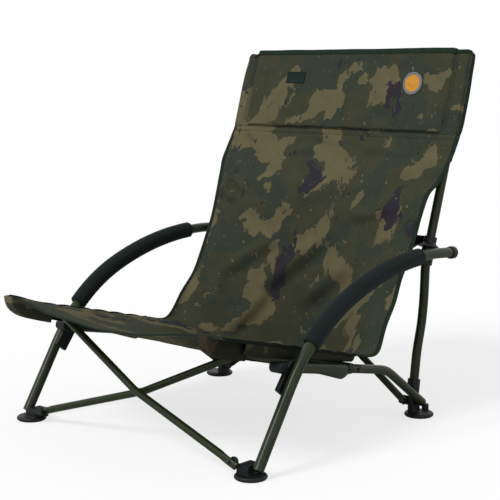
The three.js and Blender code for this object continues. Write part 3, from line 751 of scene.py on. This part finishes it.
def stations(start, end, reach, shrink=1.0, inner=None):
    """Stations of the binding between two (across, mark) places that lie reach mm apart. Each is a point, its
    normal and the way in, which shrinks across or goes to the inner mark."""
    line = []
    for across, mark in run(start, end, max(2, round(reach / 7))):
        point = sling_surface(across, mark)
        normal = normal_at(across, mark)
        further_in = sling_surface(across * shrink, mark if inner is None else inner)
        line.append((point - normal * TAPE_DEPTH, normal, (further_in - point).normalized()))
    return line


def side_stations(side, low, high):
    return stations((side, low), (side, high), high - low, shrink=0.985)


def end_stations(mark, inner, from_x, to_x):
    half = EDGE.at(mark).x
    return stations((from_x / half, mark), (to_x / half, mark), to_x - from_x, inner=inner)


TAPE_SECTION = ((1, 0.6), (0.9, 1), (0.1, 1), (-0.1, 0.5), (-0.1, -0.5), (0.1, -1), (0.9, -1), (1, -0.6))


def tape(path, width, half_thickness):
    """Edge binding folded over the cloth, swept along its stations in mm."""
    count = len(TAPE_SECTION)
    bpy.ops.mesh.primitive_grid_add(x_subdivisions=len(path) - 1, y_subdivisions=count, size=2)
    piece = bpy.context.object
    lengths = [0]
    for (a, _, _), (b, _, _) in zip(path, path[1:]):
        lengths.append(lengths[-1] + (b - a).length)
    flat = []
    for vertex in piece.data.vertices:
        station = round((vertex.co.x + 1) / 2 * (len(path) - 1))
        corner = round((vertex.co.y + 1) / 2 * count)
        inward, lift = TAPE_SECTION[corner % count]
        point, normal, into = path[station]
        flat.append((lengths[station] * MM, corner / count * 2 * width * MM))
        vertex.co = in_frame(*(point + into * inward * width + normal * lift * half_thickness))
    set_cloth_map(piece.data, flat)
    edit(piece)
    bpy.ops.mesh.remove_doubles(threshold=MERGE)
    leave_edit()
    close_ends(piece, "VERT")
    smooth(piece, 55)
    return piece


STITCH_PITCH, STITCH_LENGTH, STITCH_RADIUS = 5.2 * MM, 3.6 * MM, 0.5 * MM


def guide_line(points):
    line = bpy.data.curves.new("stitch_line", "CURVE")
    line.dimensions = "3D"
    spline = line.splines.new("POLY")
    spline.points.add(len(points) - 1)
    for target, point in zip(spline.points, points):
        target.co = (*in_frame(*point), 1)
    guide = bpy.data.objects.new("stitch_line", line)
    bpy.context.scene.collection.objects.link(guide)
    return guide


def stitches(points):
    """A row of stitches along points in mm: one stitch, repeated along a line."""
    guide = guide_line(points)
    bpy.ops.mesh.primitive_cylinder_add(vertices=6, radius=STITCH_RADIUS, depth=STITCH_LENGTH,
                                        rotation=(0, math.pi / 2, 0), location=(STITCH_LENGTH / 2, 0, 0))
    piece = settled()
    choose(piece, "FACE", lambda face: abs(face.normal.x) > 0.9)
    bpy.ops.mesh.extrude_region_shrink_fatten(TRANSFORM_OT_shrink_fatten={"value": -0.35 * MM})
    bpy.ops.transform.resize(value=(1, 0.4, 0.4), center_override=(0, 0, 0))
    leave_edit()
    apply_modifier(piece, "ARRAY", fit_type="FIT_CURVE", curve=guide, use_relative_offset=False,
                   use_constant_offset=True, constant_offset_displace=(STITCH_PITCH, 0, 0))
    apply_modifier(piece, "CURVE", object=guide, deform_axis="POS_X")
    bpy.data.objects.remove(guide, do_unlink=True)
    smooth(piece, 50)
    return piece


def thicken(piece):
    thickness = bpy.context.scene.chair_cloth.thickness
    apply_modifier(piece, "SOLIDIFY", thickness=thickness, offset=-1, use_even_offset=True)
    smooth(piece, 60)


def sewn(piece, part, name, material, replaces=()):
    """A piece sewn to the back or the seat, which moves with it as the chair folds."""
    body, anchor_x, keep = part
    finish_piece(piece, name, body, finish(material), replaces)
    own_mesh(piece)
    return piece


def sewn_tape(part, name, path, width, half_thickness, material="binding"):
    return sewn(tape(path, width, half_thickness), part, name, material)


def stitch_line(part, name, start, end, steps, lift):
    points = [sling_surface(across, mark, lift) for across, mark in run(start, end, steps)]
    return sewn(stitches(points), part, name, "thread")


# ---------------------------------------------------------------- finishes

class Nodes:
    """A small helper to lay out shader nodes."""

    def __init__(self, tree):
        self.tree = tree

    def put(self, socket, value):
        """Sets an input to a value, or links it to an output."""
        if isinstance(value, bpy.types.NodeSocket):
            self.tree.links.new(value, socket)
        else:
            socket.default_value = (*value, 1) if socket.type == "RGBA" else value

    def put_all(self, node, inputs):
        for key, value in inputs.items():
            self.put(node.inputs[key], value)
        return node

    def add(self, kind, inputs=None, **settings):
        node = self.tree.nodes.new(kind)
        for key, value in settings.items():
            setattr(node, key, value)
        return self.put_all(node, inputs or {})

    def math(self, operation, *values):
        return self.add("ShaderNodeMath", dict(enumerate(values)), operation=operation).outputs[0]

    def times(self, a, b):
        return self.math("MULTIPLY", a, b)

    def centred(self, value):
        return self.math("SUBTRACT", value, 0.5)


class Finish(Nodes):
    """A procedural material on one shader."""

    def __init__(self, name, tone, roughness, specular=0.5, metallic=0.0):
        self.material = bpy.data.materials.new(name)
        self.material.use_nodes = True
        super().__init__(self.material.node_tree)
        self.shader = self.tree.nodes["Principled BSDF"]
        self.put_all(self.shader, {"Base Color": tone, "Roughness": roughness, "Metallic": metallic,
                                   "Specular IOR Level": specular})

    def shade(self, tone, normal, **inputs):
        self.put_all(self.shader, {"Base Color": tone, "Normal": normal, **inputs})
        return self.material

    def objects(self):
        return self.add("ShaderNodeTexCoord").outputs["Object"]

    def cloth(self):
        return self.add("ShaderNodeUVMap", uv_map="cloth").outputs["UV"]

    def noise(self, vector, scale, detail=3, roughness=0.5, output="Fac"):
        inputs = {"Vector": vector, "Scale": scale, "Detail": detail, "Roughness": roughness}
        return self.add("ShaderNodeTexNoise", inputs).outputs[output]

    def waves(self, direction, scale, **inputs):
        inputs.update(Vector=self.cloth(), Scale=scale)
        return self.add("ShaderNodeTexWave", inputs, bands_direction=direction).outputs["Fac"]

    def cells(self, vector, scale):
        return self.add("ShaderNodeTexVoronoi", {"Vector": vector, "Scale": scale}, feature="F1").outputs

    def band(self, value, low, high):
        inputs = {"Value": value, "From Min": low, "From Max": high}
        return self.add("ShaderNodeMapRange", inputs, interpolation_type="SMOOTHSTEP").outputs["Result"]

    def mix(self, share, a, b, blend="MIX"):
        """Mixes two colours: the mix node's inputs 6 and 7, and its output 2."""
        inputs = {0: share, 6: a, 7: b}
        return self.add("ShaderNodeMix", inputs, data_type="RGBA", blend_type=blend).outputs[2]

    def tone(self, share, base, darker, lighter):
        """A colour that runs from a darker to a lighter shade of itself."""
        return self.mix(share, *(tuple(c * level for c in base) for level in (darker, lighter)))

    def bump(self, height, strength, distance, **normal):
        inputs = {"Height": height, "Strength": strength, "Distance": distance, **normal}
        return self.add("ShaderNodeBump", inputs).outputs["Normal"]


def paint_finish():
    base = tuple(bpy.context.scene.chair_frame.paint)
    f = Finish("olive_paint", base, 0.32, 0.22)
    place = f.objects()
    tone = f.tone(f.band(f.noise(place, 22, 4), 0.35, 0.7), base, 0.84, 1.18)
    scuff = f.band(f.noise(place, 160, 5, 0.7), 0.45, 0.75)
    peel = f.bump(f.noise(place, 900, 2), 0.03, 0.0001)
    return f.shade(tone, peel, Roughness=f.math("ADD", f.times(scuff, 0.06), 0.32))


def plastic_finish():
    base = tuple(bpy.context.scene.chair_frame.plastic)
    f = Finish("black_moulding", base, 0.5, 0.25)
    place = f.objects()
    tone = f.tone(f.noise(place, 60, 4), base, 0.8, 1.3)
    grain = f.bump(f.noise(place, 1400, 2), 0.25, 0.0003)
    return f.shade(tone, grain, Roughness=f.math("ADD", f.times(f.noise(place, 120, 3), 0.2), 0.4))


def foam_finish():
    base = tuple(bpy.context.scene.chair_frame.foam)
    f = Finish("grip_foam", base, 0.9, 0.12)
    f.put_all(f.shader, {"Sheen Weight": 0.03, "Sheen Roughness": 0.6})
    place = f.objects()
    soft = f.bump(f.noise(place, 90, 3), 0.25, 0.002)
    pores = f.bump(f.cells(place, 1100)["Distance"], 0.3, 0.0005, Normal=soft)
    return f.shade(f.tone(f.noise(place, 40, 5), base, 0.8, 1.35), pores)


def steel_finish():
    f = Finish("rivet_steel", (0.05, 0.055, 0.045), 0.42, metallic=0.7)
    place = f.objects()
    tone = f.mix(f.noise(place, 300, 3), (0.018, 0.022, 0.018), (0.06, 0.066, 0.055))
    return f.shade(tone, f.bump(f.noise(place, 900, 2), 0.15, 0.0003))


# Patches over the ground colour: noise scale, seed, cut, drawn-out size, turn, detail and colour
PATCHES = (
    (11, 3.1, 0.51, (1, 1.4, 1), -0.8, 3, "green"), (14, 11.4, 0.55, (1, 1.5, 1), -0.75, 3, "tan"),
    (13.5, 23.9, 0.638, (1, 1.5, 1), -0.3, 3, "dark"), (20, 37.2, 0.668, (1, 1.2, 1), 0.4, 2.5, "green"),
)
# Flecks over the patches: scale, radius, share of cells, seed, strength, colour and its level
FLECKS = (
    (88, 0.22, 0.3, 0, 0.8, "tan", 1.25), (175, 0.26, 0.3, 4, 0.7, "tan", 1),
    (95, 0.3, 0.08, 9, 0.8, "dark", 0.7),
)


class Camouflage(Finish):
    """A printed cloth of ragged patches, grass-like tufts and pale flecks, laid on the cloth's own map."""

    def vector(self, operation, inputs):
        return self.add("ShaderNodeVectorMath", inputs, operation=operation).outputs[0]

    def turned(self, vector, size, turn, place):
        """The map moved, turned, and then drawn out to a size along its turned directions."""
        inputs = {"Vector": vector, "Location": place, "Scale": size, "Rotation": (0, 0, turn)}
        return self.add("ShaderNodeMapping", inputs, vector_type="TEXTURE").outputs[0]

    def warped(self, vector, scale, amount):
        shift = self.noise(vector, scale, 5, 0.6, "Color")
        centred = self.vector("SUBTRACT", {0: shift, 1: (0.5, 0.5, 0.5)})
        return self.vector("ADD", {0: vector, 1: self.vector("SCALE", {0: centred, "Scale": amount})})

    def patch(self, ragged, scale, seed, cut, size, turn, detail):
        """Where one printed colour lies: noise over a cut, with teeth and tufts along its edges."""
        place = self.turned(self.warped(self.cloth(), 24, 0.035), size, turn, (seed, seed * 0.37, 0))
        field = self.noise(place, scale, detail, 0.45)
        return self.band(self.math("ADD", field, ragged), cut, cut + 0.006)

    def ragged(self):
        """Teeth of a few millimetres everywhere, and blades of grass in some places."""
        place = self.cloth()
        total = self.times(self.centred(self.noise(place, 95, 5, 0.8)), 0.085)
        bent = self.warped(place, 16, 0.05)
        for turn, seed in ((0.5, 0), (-0.4, 3.3)):
            blades = self.noise(self.turned(bent, (0.0032, 0.026, 1), turn, (seed, seed, 0)), 1, 1.5)
            meadow = self.noise(self.turned(place, (1, 1, 1), 0, (seed + 5, 2, 0)), 8, 2)
            tufts = self.times(self.centred(blades), self.band(meadow, 0.56, 0.66))
            total = self.math("ADD", total, self.times(tufts, 0.34))
        return total

    def flecks(self, scale, radius, few, seed):
        dots = self.cells(self.turned(self.cloth(), (1, 1.4, 1), 0.5, (seed, 0, 0)), scale)
        chosen = self.add("ShaderNodeSeparateColor", {"Color": dots["Color"]}).outputs
        inside = self.math("LESS_THAN", dots["Distance"], self.times(chosen["Green"], radius))
        return self.times(inside, self.math("LESS_THAN", chosen["Red"], few))


def camouflage_finish(name="camouflage_cloth", shade=1.0):
    look = bpy.context.scene.chair_cloth
    colours = {key: tuple(c * shade for c in getattr(look, key)) for key in ("olive", "green", "tan", "dark")}
    tone = colours["olive"]
    f = Camouflage(name, tone, 0.9, 0.12)
    ragged = f.ragged()
    for *shape, key in PATCHES:
        tone = f.mix(f.patch(ragged, *shape), tone, colours[key])
    for *dots, strength, key, level in FLECKS:
        tone = f.mix(f.times(f.flecks(*dots), strength), tone, tuple(c * level for c in colours[key]))
    faded = f.tone(f.noise(f.cloth(), 30, 3), (1, 1, 1), 0.84, 1.16)
    tone = f.mix(1.0, tone, faded, "MULTIPLY")
    # A plain weave: two crossing sets of ridges about 0.9 mm apart
    weave = f.math("MAXIMUM", *(f.waves(direction, 340, Distortion=0.6, Detail=1) for direction in "XY"))
    tone = f.mix(f.times(weave, 0.12), tone, tuple(c * 1.4 for c in colours["olive"]))
    crumple = f.bump(f.noise(f.cloth(), 26, 5, 0.55), 0.5, 0.005)
    return f.shade(tone, f.bump(weave, 0.3, 0.0004, Normal=crumple))


def binding_finish(name="edge_binding", shade=1.0):
    base = tuple(c * shade for c in bpy.context.scene.chair_cloth.binding)
    f = Finish(name, base, 0.85, 0.12)
    tone = f.tone(f.noise(f.objects(), 80, 4), base, 0.75, 1.35)
    return f.shade(tone, f.bump(f.waves("X", 190), 0.4, 0.0006))


def plain_finish(name, base, roughness):
    f = Finish(name, base, roughness, 0.08)
    place = f.objects()
    tone = f.tone(f.noise(place, 140, 3), base, 0.85, 1.12)
    return f.shade(tone, f.bump(f.noise(place, 700, 2), 0.2, 0.0003))


FINISHES = {
    "paint": (paint_finish,), "plastic": (plastic_finish,), "foam": (foam_finish,), "steel": (steel_finish,),
    "camouflage": (camouflage_finish,), "binding": (binding_finish,),
    "fold_shade": (binding_finish, "shaded_fold", 0.3),
    # Copies of the camouflage for the pockets: painted light, lighter, on the right pocket, and painted
    # shade, darker, on the left one
    "pocket": (camouflage_finish, "pocket_camouflage", 1.1),
    "shaded_pocket": (camouflage_finish, "shaded_pocket", 0.3),
    # A copy of the camouflage painted darker, as painted shade on the side hems under the seat's edges
    "hem": (camouflage_finish, "hem_camouflage", 0.4),
    "patch": (plain_finish, "bare_patch", (0.006, 0.017, 0.014), 0.5),
    "badge_rim": (plain_finish, "badge_rim", (0.17, 0.19, 0.20), 0.5),
    "badge_face": (plain_finish, "badge_face", (0.60, 0.275, 0.035), 0.5),
    "thread": (plain_finish, "sewing_thread", (0.02, 0.03, 0.02), 0.8),
}


@functools.cache
def finish(name):
    """A finish, made the first time that it is asked for."""
    make, *settings = FINISHES[name]
    return make(*settings)


# ---------------------------------------------------------------- frame and fittings

class CHAIR_OT_tubes(bpy.types.Operator):
    """Round the painted tubes of the frame"""
    bl_idname = "chair.tubes"
    bl_label = "Painted tubes"

    def execute(self, context):
        for kind in TUBE_RADII:
            for hand, _ in HANDS:
                round_tube(kind, hand, TUBE_SHAPES.get(kind))
        return {"FINISHED"}


class CHAIR_OT_mouldings(bpy.types.Operator):
    """Model the moulded feet, brackets, collars, sliders, spacers and end caps"""
    bl_idname = "chair.mouldings"
    bl_label = "Moulded fittings"

    def execute(self, context):
        foot_top = ((0, 0, FOOT_TOP_Z * MM), (0, 0, 1))
        for hand, side in HANDS:
            for kind in MOULDED_KINDS:
                moulded(f"{kind}_{hand}")
            moulded(f"front_foot_{hand}", trim=[foot_top], more=foot_ear(side))
            bracket = f"leg_bracket_{hand}"
            bracket_top = ((0, 0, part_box(bracket)[1].z - BRACKET_CUT * MM), (0, 0, 1))
            moulded(bracket, trim=[((side * BRACKET_INSIDE_X * MM, 0, 0), (-side, 0, 0)), bracket_top])
            moulded(f"post_slider_{hand}", more=slider_skirt(side))
        for place in ("front", "rear"):
            moulded(f"{place}_cross_spacer")
        return {"FINISHED"}


class CHAIR_OT_grips(bpy.types.Operator):
    """Model the foam grips on the arms"""
    bl_idname = "chair.grips"
    bl_label = "Foam grips"

    def execute(self, context):
        for hand, _ in HANDS:
            piece = moulded(f"arm_grip_{hand}", "foam", "_foam", 1.5 * MM, 6)
        return {"FINISHED"}


class CHAIR_OT_rivets(bpy.types.Operator):
    """Model the rivet heads"""
    bl_idname = "chair.rivets"
    bl_label = "Rivets"

    def execute(self, context):
        for hand, side in HANDS:
            rivet(f"seat_bar_rivet_{hand}", Vector((side, 0, 0)))
            rivet(f"front_foot_bolt_{hand}", lean_normal(FRONT_LEAN) * -side)
            rivet(f"rear_foot_bolt_{hand}", lean_normal(REAR_LEAN) * -side)
        return {"FINISHED"}


# ---------------------------------------------------------------- cloth

class CHAIR_OT_back(bpy.types.Operator):
    """Model the back cloth, its binding and its seams"""
    bl_idname = "chair.back"
    bl_label = "Back cloth"

    def execute(self, context):
        low = SPLIT - 9
        width = context.scene.chair_cloth.tape_width / MM
        back = cloth_grid(back_point, low, EDGE.length, 120, 200, mark_at=back_mark)
        thicken(back)
        sewn(back, BACK, "back_cloth", "camouflage", replaces=["back_sling"])
        self.bindings(width) + self.seams(width)
        return {"FINISHED"}

    def bindings(self, width):
        top, inner = EDGE.length, EDGE.length - 8
        half = EDGE.at(top).x - 3
        tapes = [sewn_tape(BACK, f"back_binding_{hand}", side_stations(side, SPLIT, top), width, 1.6)
                 for hand, side in HANDS]
        tapes.append(sewn_tape(BACK, "back_binding_top", end_stations(top, inner, -half, half), width, 1.7))
        hem = end_stations(top, inner, -STITCH_X, STITCH_X + 4)
        tapes.append(sewn_tape(BACK, "back_hem_top", hem, width + 3, 4.6))
        return tapes

    def seams(self, width):
        top = EDGE.length
        rows = [(f"seam_stitches_{number}", (-0.96, SEAM + row), (0.96, SEAM + row), 120, 0.3)
                for number, row in enumerate(SEAM_ROWS)]
        for hand, side in HANDS:
            for number, x in enumerate((STITCH_X, STITCH_X + 5)):
                across = side * x / 291
                name = f"sleeve_stitches_{hand}_{number}"
                rows.append((name, (across, SEAM + 4), (across, top - 12), 40, 0.3))
            inner = side * (1 - (width - 1.5) / 280)
            rows.append((f"back_edge_stitches_{hand}", (inner, SPLIT + 6), (inner, top - 8), 130, 1.1))
        return [stitch_line(BACK, *row) for row in rows]


class CHAIR_OT_headrest(bpy.types.Operator):
    """Model the headrest: a loose layer sewn over the back's top, whose lower edge rolls over its seam"""
    bl_idname = "chair.headrest"
    bl_label = "Headrest"

    def execute(self, context):
        piece = cloth_grid(headrest_layer, SEAM, HEADREST_TOP, 120, 80, 0.2, 1.9, 0.25)
        thicken(piece)
        sewn(piece, BACK, "headrest_cloth", "camouflage", replaces=["headrest"])
        return {"FINISHED"}


class CHAIR_OT_seat(bpy.types.Operator):
    """Model the seat cloth, its binding and its seams"""
    bl_idname = "chair.seat"
    bl_label = "Seat cloth"

    def execute(self, context):
        width = context.scene.chair_cloth.tape_width / MM
        seat = cloth_grid(seat_point, 0, SPLIT, 120, 110, mark_at=seat_mark)
        thicken(seat)
        sewn(seat, SEAT, "seat_cloth", "camouflage", replaces=["seat_sling"])
        tapes = [sewn_tape(SEAT, f"seat_binding_{hand}", side_stations(side, 0, SPLIT), width * 0.8, 3.0,
                           "fold_shade") for hand, side in HANDS]
        tapes.append(sewn_tape(SEAT, "seat_binding_front", end_stations(0, 8, -273, 273), width * 0.6, 1.3))
        rows = [stitch_line(SEAT, "front_stitches", (-0.96, 7), (0.96, 7), 110, 0.9)]
        return {"FINISHED"}


class CHAIR_OT_hems(bpy.types.Operator):
    """Model the seat's side hems, which hang from its edges round the seat bars"""
    bl_idname = "chair.hems"
    bl_label = "Side hems"

    def execute(self, context):
        low, high = EDGE.mark_at(y=-262), SPLIT
        for hand, side in HANDS:
            point_at = functools.partial(hem_point, side)
            piece = cloth_grid(point_at, low, high, 14, 70, 0, side * 0.3, side * 0.0155)
            thicken(piece)
            if side < 0:
                make_consistent(piece)
            # The hems take the camouflage copy that is painted darker, as painted shade
            sewn(piece, SEAT, f"seat_hem_{hand}", "hem")
        return {"FINISHED"}


class CHAIR_OT_pockets(bpy.types.Operator):
    """Model the sleeves over the posts and the pockets over the seat bars' tips"""
    bl_idname = "chair.pockets"
    bl_label = "Sleeves and pockets"

    def execute(self, context):
        for hand, side in HANDS:
            node = f"post_sleeve_{hand}"
            sleeve = moulded(node, "camouflage", "_cloth", 1.2 * MM, 5)
            map_round(sleeve, side)
            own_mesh(sleeve)
            # The right pocket takes the camouflage painted lighter as painted light, the left one the
            # camouflage painted darker as painted shade
            material = "pocket" if side < 0 else "shaded_pocket"
            pocket = moulded(f"corner_pocket_{hand}", material, "_cloth", 1.0 * MM, 5)
            if side < 0:
                raise_tip(pocket)
            map_round(pocket, side)
        return {"FINISHED"}


def raise_tip(pocket):
    """Lets the pocket follow the cloth's raised corner."""
    for vertex in pocket.data.vertices:
        y = (vertex.co.y - FEET_MIDDLE_Y) / MM
        vertex.co.z += TIP_RISE * MM * (1 - ramp(y, FRONT_Y, FRONT_Y + 110))


def map_round(piece, side):
    """A cloth UV map in metres from the piece's place: the way round, and the height."""
    points = [vertex.co for vertex in piece.data.vertices]
    set_cloth_map(piece.data, [(point.x + point.y * side, point.z + 0.3) for point in points])


BADGE_FACE = 17.6 * MM


class CHAIR_OT_trims(bpy.types.Operator):
    """Model the bare label patch and the plain round badge on the headrest"""
    bl_idname = "chair.trims"
    bl_label = "Patch and badge"

    def execute(self, context):
        self.patch()
        self.badge()
        return {"FINISHED"}

    def patch(self):
        bpy.ops.mesh.primitive_cube_add(size=1)
        bpy.context.object.scale = (46 * MM, 25 * MM, 2.2 * MM)
        patch = settled()
        edit(patch, "EDGE")
        bpy.ops.mesh.subdivide(number_cuts=5)
        leave_edit()
        inset_faces(patch, faces_up, ((1.8 * MM, 0), (0.5 * MM, -0.7 * MM)))
        bevel(patch, 0.5 * MM, 2, 30)
        smooth(patch)
        lay_on_headrest(patch, -136, 657)
        sewn(patch, BACK, "label_patch", "patch")

    def badge(self):
        bpy.ops.mesh.primitive_cylinder_add(vertices=72, radius=23 * MM, depth=2.4 * MM,
                                            end_fill_type="TRIFAN")
        badge = bpy.context.object
        rim, ring = ((5.2 * MM, 0), (0.5 * MM, -0.6 * MM)), ((7.5 * MM, 0), (0.5 * MM, 0.5 * MM))
        inset_faces(badge, faces_up, rim + ring)
        bevel(badge, 0.4 * MM, 2, 30)
        smooth(badge)
        inside = [face.center.xy.length < BADGE_FACE and face.center.z > 0 for face in badge.data.polygons]
        lay_on_headrest(badge, 169, 646)
        sewn(badge, BACK, "round_badge", "badge_rim")
        badge.data.materials.append(finish("badge_face"))
        for face, shown in zip(badge.data.polygons, inside):
            face.material_index = int(shown)


def faces_up(face):
    return face.normal.z > 0.9


def lay_on_headrest(piece, x, z):
    """Lays a flat piece on the headrest, so that it follows the cloth."""
    drop = EDGE.mark_at(JUNCTION, z=z) - SEAM
    for vertex in piece.data.vertices:
        along, up, lift = vertex.co / MM
        across = (x + along) / STITCH_X
        point = headrest_point(across, drop + up, headrest_lift(drop + up))
        normal = normal_at(across * HEADREST_HALF, SEAM + drop + up)
        vertex.co = in_frame(*(point + normal * (lift + 0.9)))


# ---------------------------------------------------------------- stage

# Lamps: name, place, width of the sun in degrees, power
LAMPS = (("key", (-0.7, -3.8, 3.9), 20, 1.85), ("fill", (3.6, -1.0, 1.8), 50, 0.25))


class CHAIR_OT_stage(bpy.types.Operator):
    """Set up the floor, the lights and the camera"""
    bl_idname = "chair.stage"
    bl_label = "Stage"

    def execute(self, context):
        scene = context.scene
        scene.view_settings.view_transform = "Standard"
        self.camera(scene)
        self.floor()
        self.world(scene)
        self.lamps()
        return {"FINISHED"}

    def camera(self, scene):
        look = scene.chair_stage
        x, y, z = look.position
        bpy.ops.object.camera_add(location=(x, y + FEET_MIDDLE_Y, z),
                                  rotation=(math.pi / 2 - look.elevation, 0, look.azimuth))
        camera = bpy.context.object
        camera.data.sensor_width = 36
        camera.data.lens = look.focal_length
        camera.data.clip_end = 100
        scene.camera = camera

    def floor(self):
        bpy.ops.mesh.primitive_plane_add(size=60, location=(0, 0, -0.5 * MM))
        floor = bpy.context.object
        floor.name = "floor"
        pale, dim = (0.8, 0.8, 0.8), (0.3, 0.3, 0.3)
        f = Finish("pale_floor", pale, 0.9, 0.0)
        seen = f.add("ShaderNodeLightPath").outputs["Is Camera Ray"]
        f.put_all(f.shader, {"Base Color": f.mix(seen, pale, dim), "Emission Color": (1, 1, 1),
                             "Emission Strength": f.times(seen, 0.74)})
        floor.data.materials.append(f.material)

    def world(self, scene):
        """A studio that lights the chair less than it shows."""
        world = bpy.data.worlds.new("studio")
        scene.world = world
        world.use_nodes = True
        nodes = Nodes(world.node_tree)
        path = nodes.add("ShaderNodeLightPath").outputs
        seen = path["Is Camera Ray"]
        for other in ("Is Glossy Ray", "Is Transmission Ray"):
            seen = nodes.math("MAXIMUM", seen, path[other])
        level = nodes.add("ShaderNodeMapRange", {"Value": seen, "To Min": 0.4, "To Max": 1.0})
        nodes.put_all(world.node_tree.nodes["Background"],
                      {"Color": (1, 1, 1), "Strength": level.outputs["Result"]})

    def lamps(self):
        for name, place, width, power in LAMPS:
            bpy.ops.object.light_add(type="SUN", location=place)
            lamp = bpy.context.object
            lamp.name = name
            lamp.data.angle = math.radians(width)
            lamp.data.energy = power
            lamp.rotation_euler = (-Vector(place)).to_track_quat("-Z", "Y").to_euler()


# ---------------------------------------------------------------- panel

LOOKS = {"chair_frame": ChairFrameLook, "chair_cloth": ChairClothLook, "chair_stage": ChairStageLook}
STEPS = (CHAIR_OT_stage, CHAIR_OT_tubes, CHAIR_OT_mouldings, CHAIR_OT_grips, CHAIR_OT_rivets, CHAIR_OT_back,
         CHAIR_OT_headrest, CHAIR_OT_seat, CHAIR_OT_hems, CHAIR_OT_pockets, CHAIR_OT_trims)


class CHAIR_PT_panel(bpy.types.Panel):
    """Lists the chair's pieces"""
    bl_idname = "CHAIR_PT_panel"
    bl_label = "Folding fishing chair"
    bl_space_type = "VIEW_3D"
    bl_region_type = "UI"
    bl_category = "Chair"

    def draw(self, context):
        for name in LOOKS:
            look = getattr(context.scene, name)
            box = self.layout.box()
            for key in look.bl_rna.properties.keys():
                if key not in ("rna_type", "name"):
                    box.prop(look, key)
        for step in STEPS:
            self.layout.operator(step.bl_idname)


CLASSES = (*LOOKS.values(), *STEPS, CHAIR_PT_panel)


def register():
    for each in CLASSES:
        bpy.utils.register_class(each)
    for name, look in LOOKS.items():
        setattr(bpy.types.Scene, name, bpy.props.PointerProperty(type=look))


def unregister():
    for name in LOOKS:
        delattr(bpy.types.Scene, name)
    for each in reversed(CLASSES):
        bpy.utils.unregister_class(each)


def main():
    register()
    bpy.ops.chair.stage()
    bpy.ops.chair.tubes()
    bpy.ops.chair.mouldings()
    bpy.ops.chair.grips()
    bpy.ops.chair.rivets()
    bpy.ops.chair.back()
    bpy.ops.chair.headrest()
    bpy.ops.chair.seat()
    bpy.ops.chair.hems()
    bpy.ops.chair.pockets()
    bpy.ops.chair.trims()


if __name__ == "__main__":
    main()
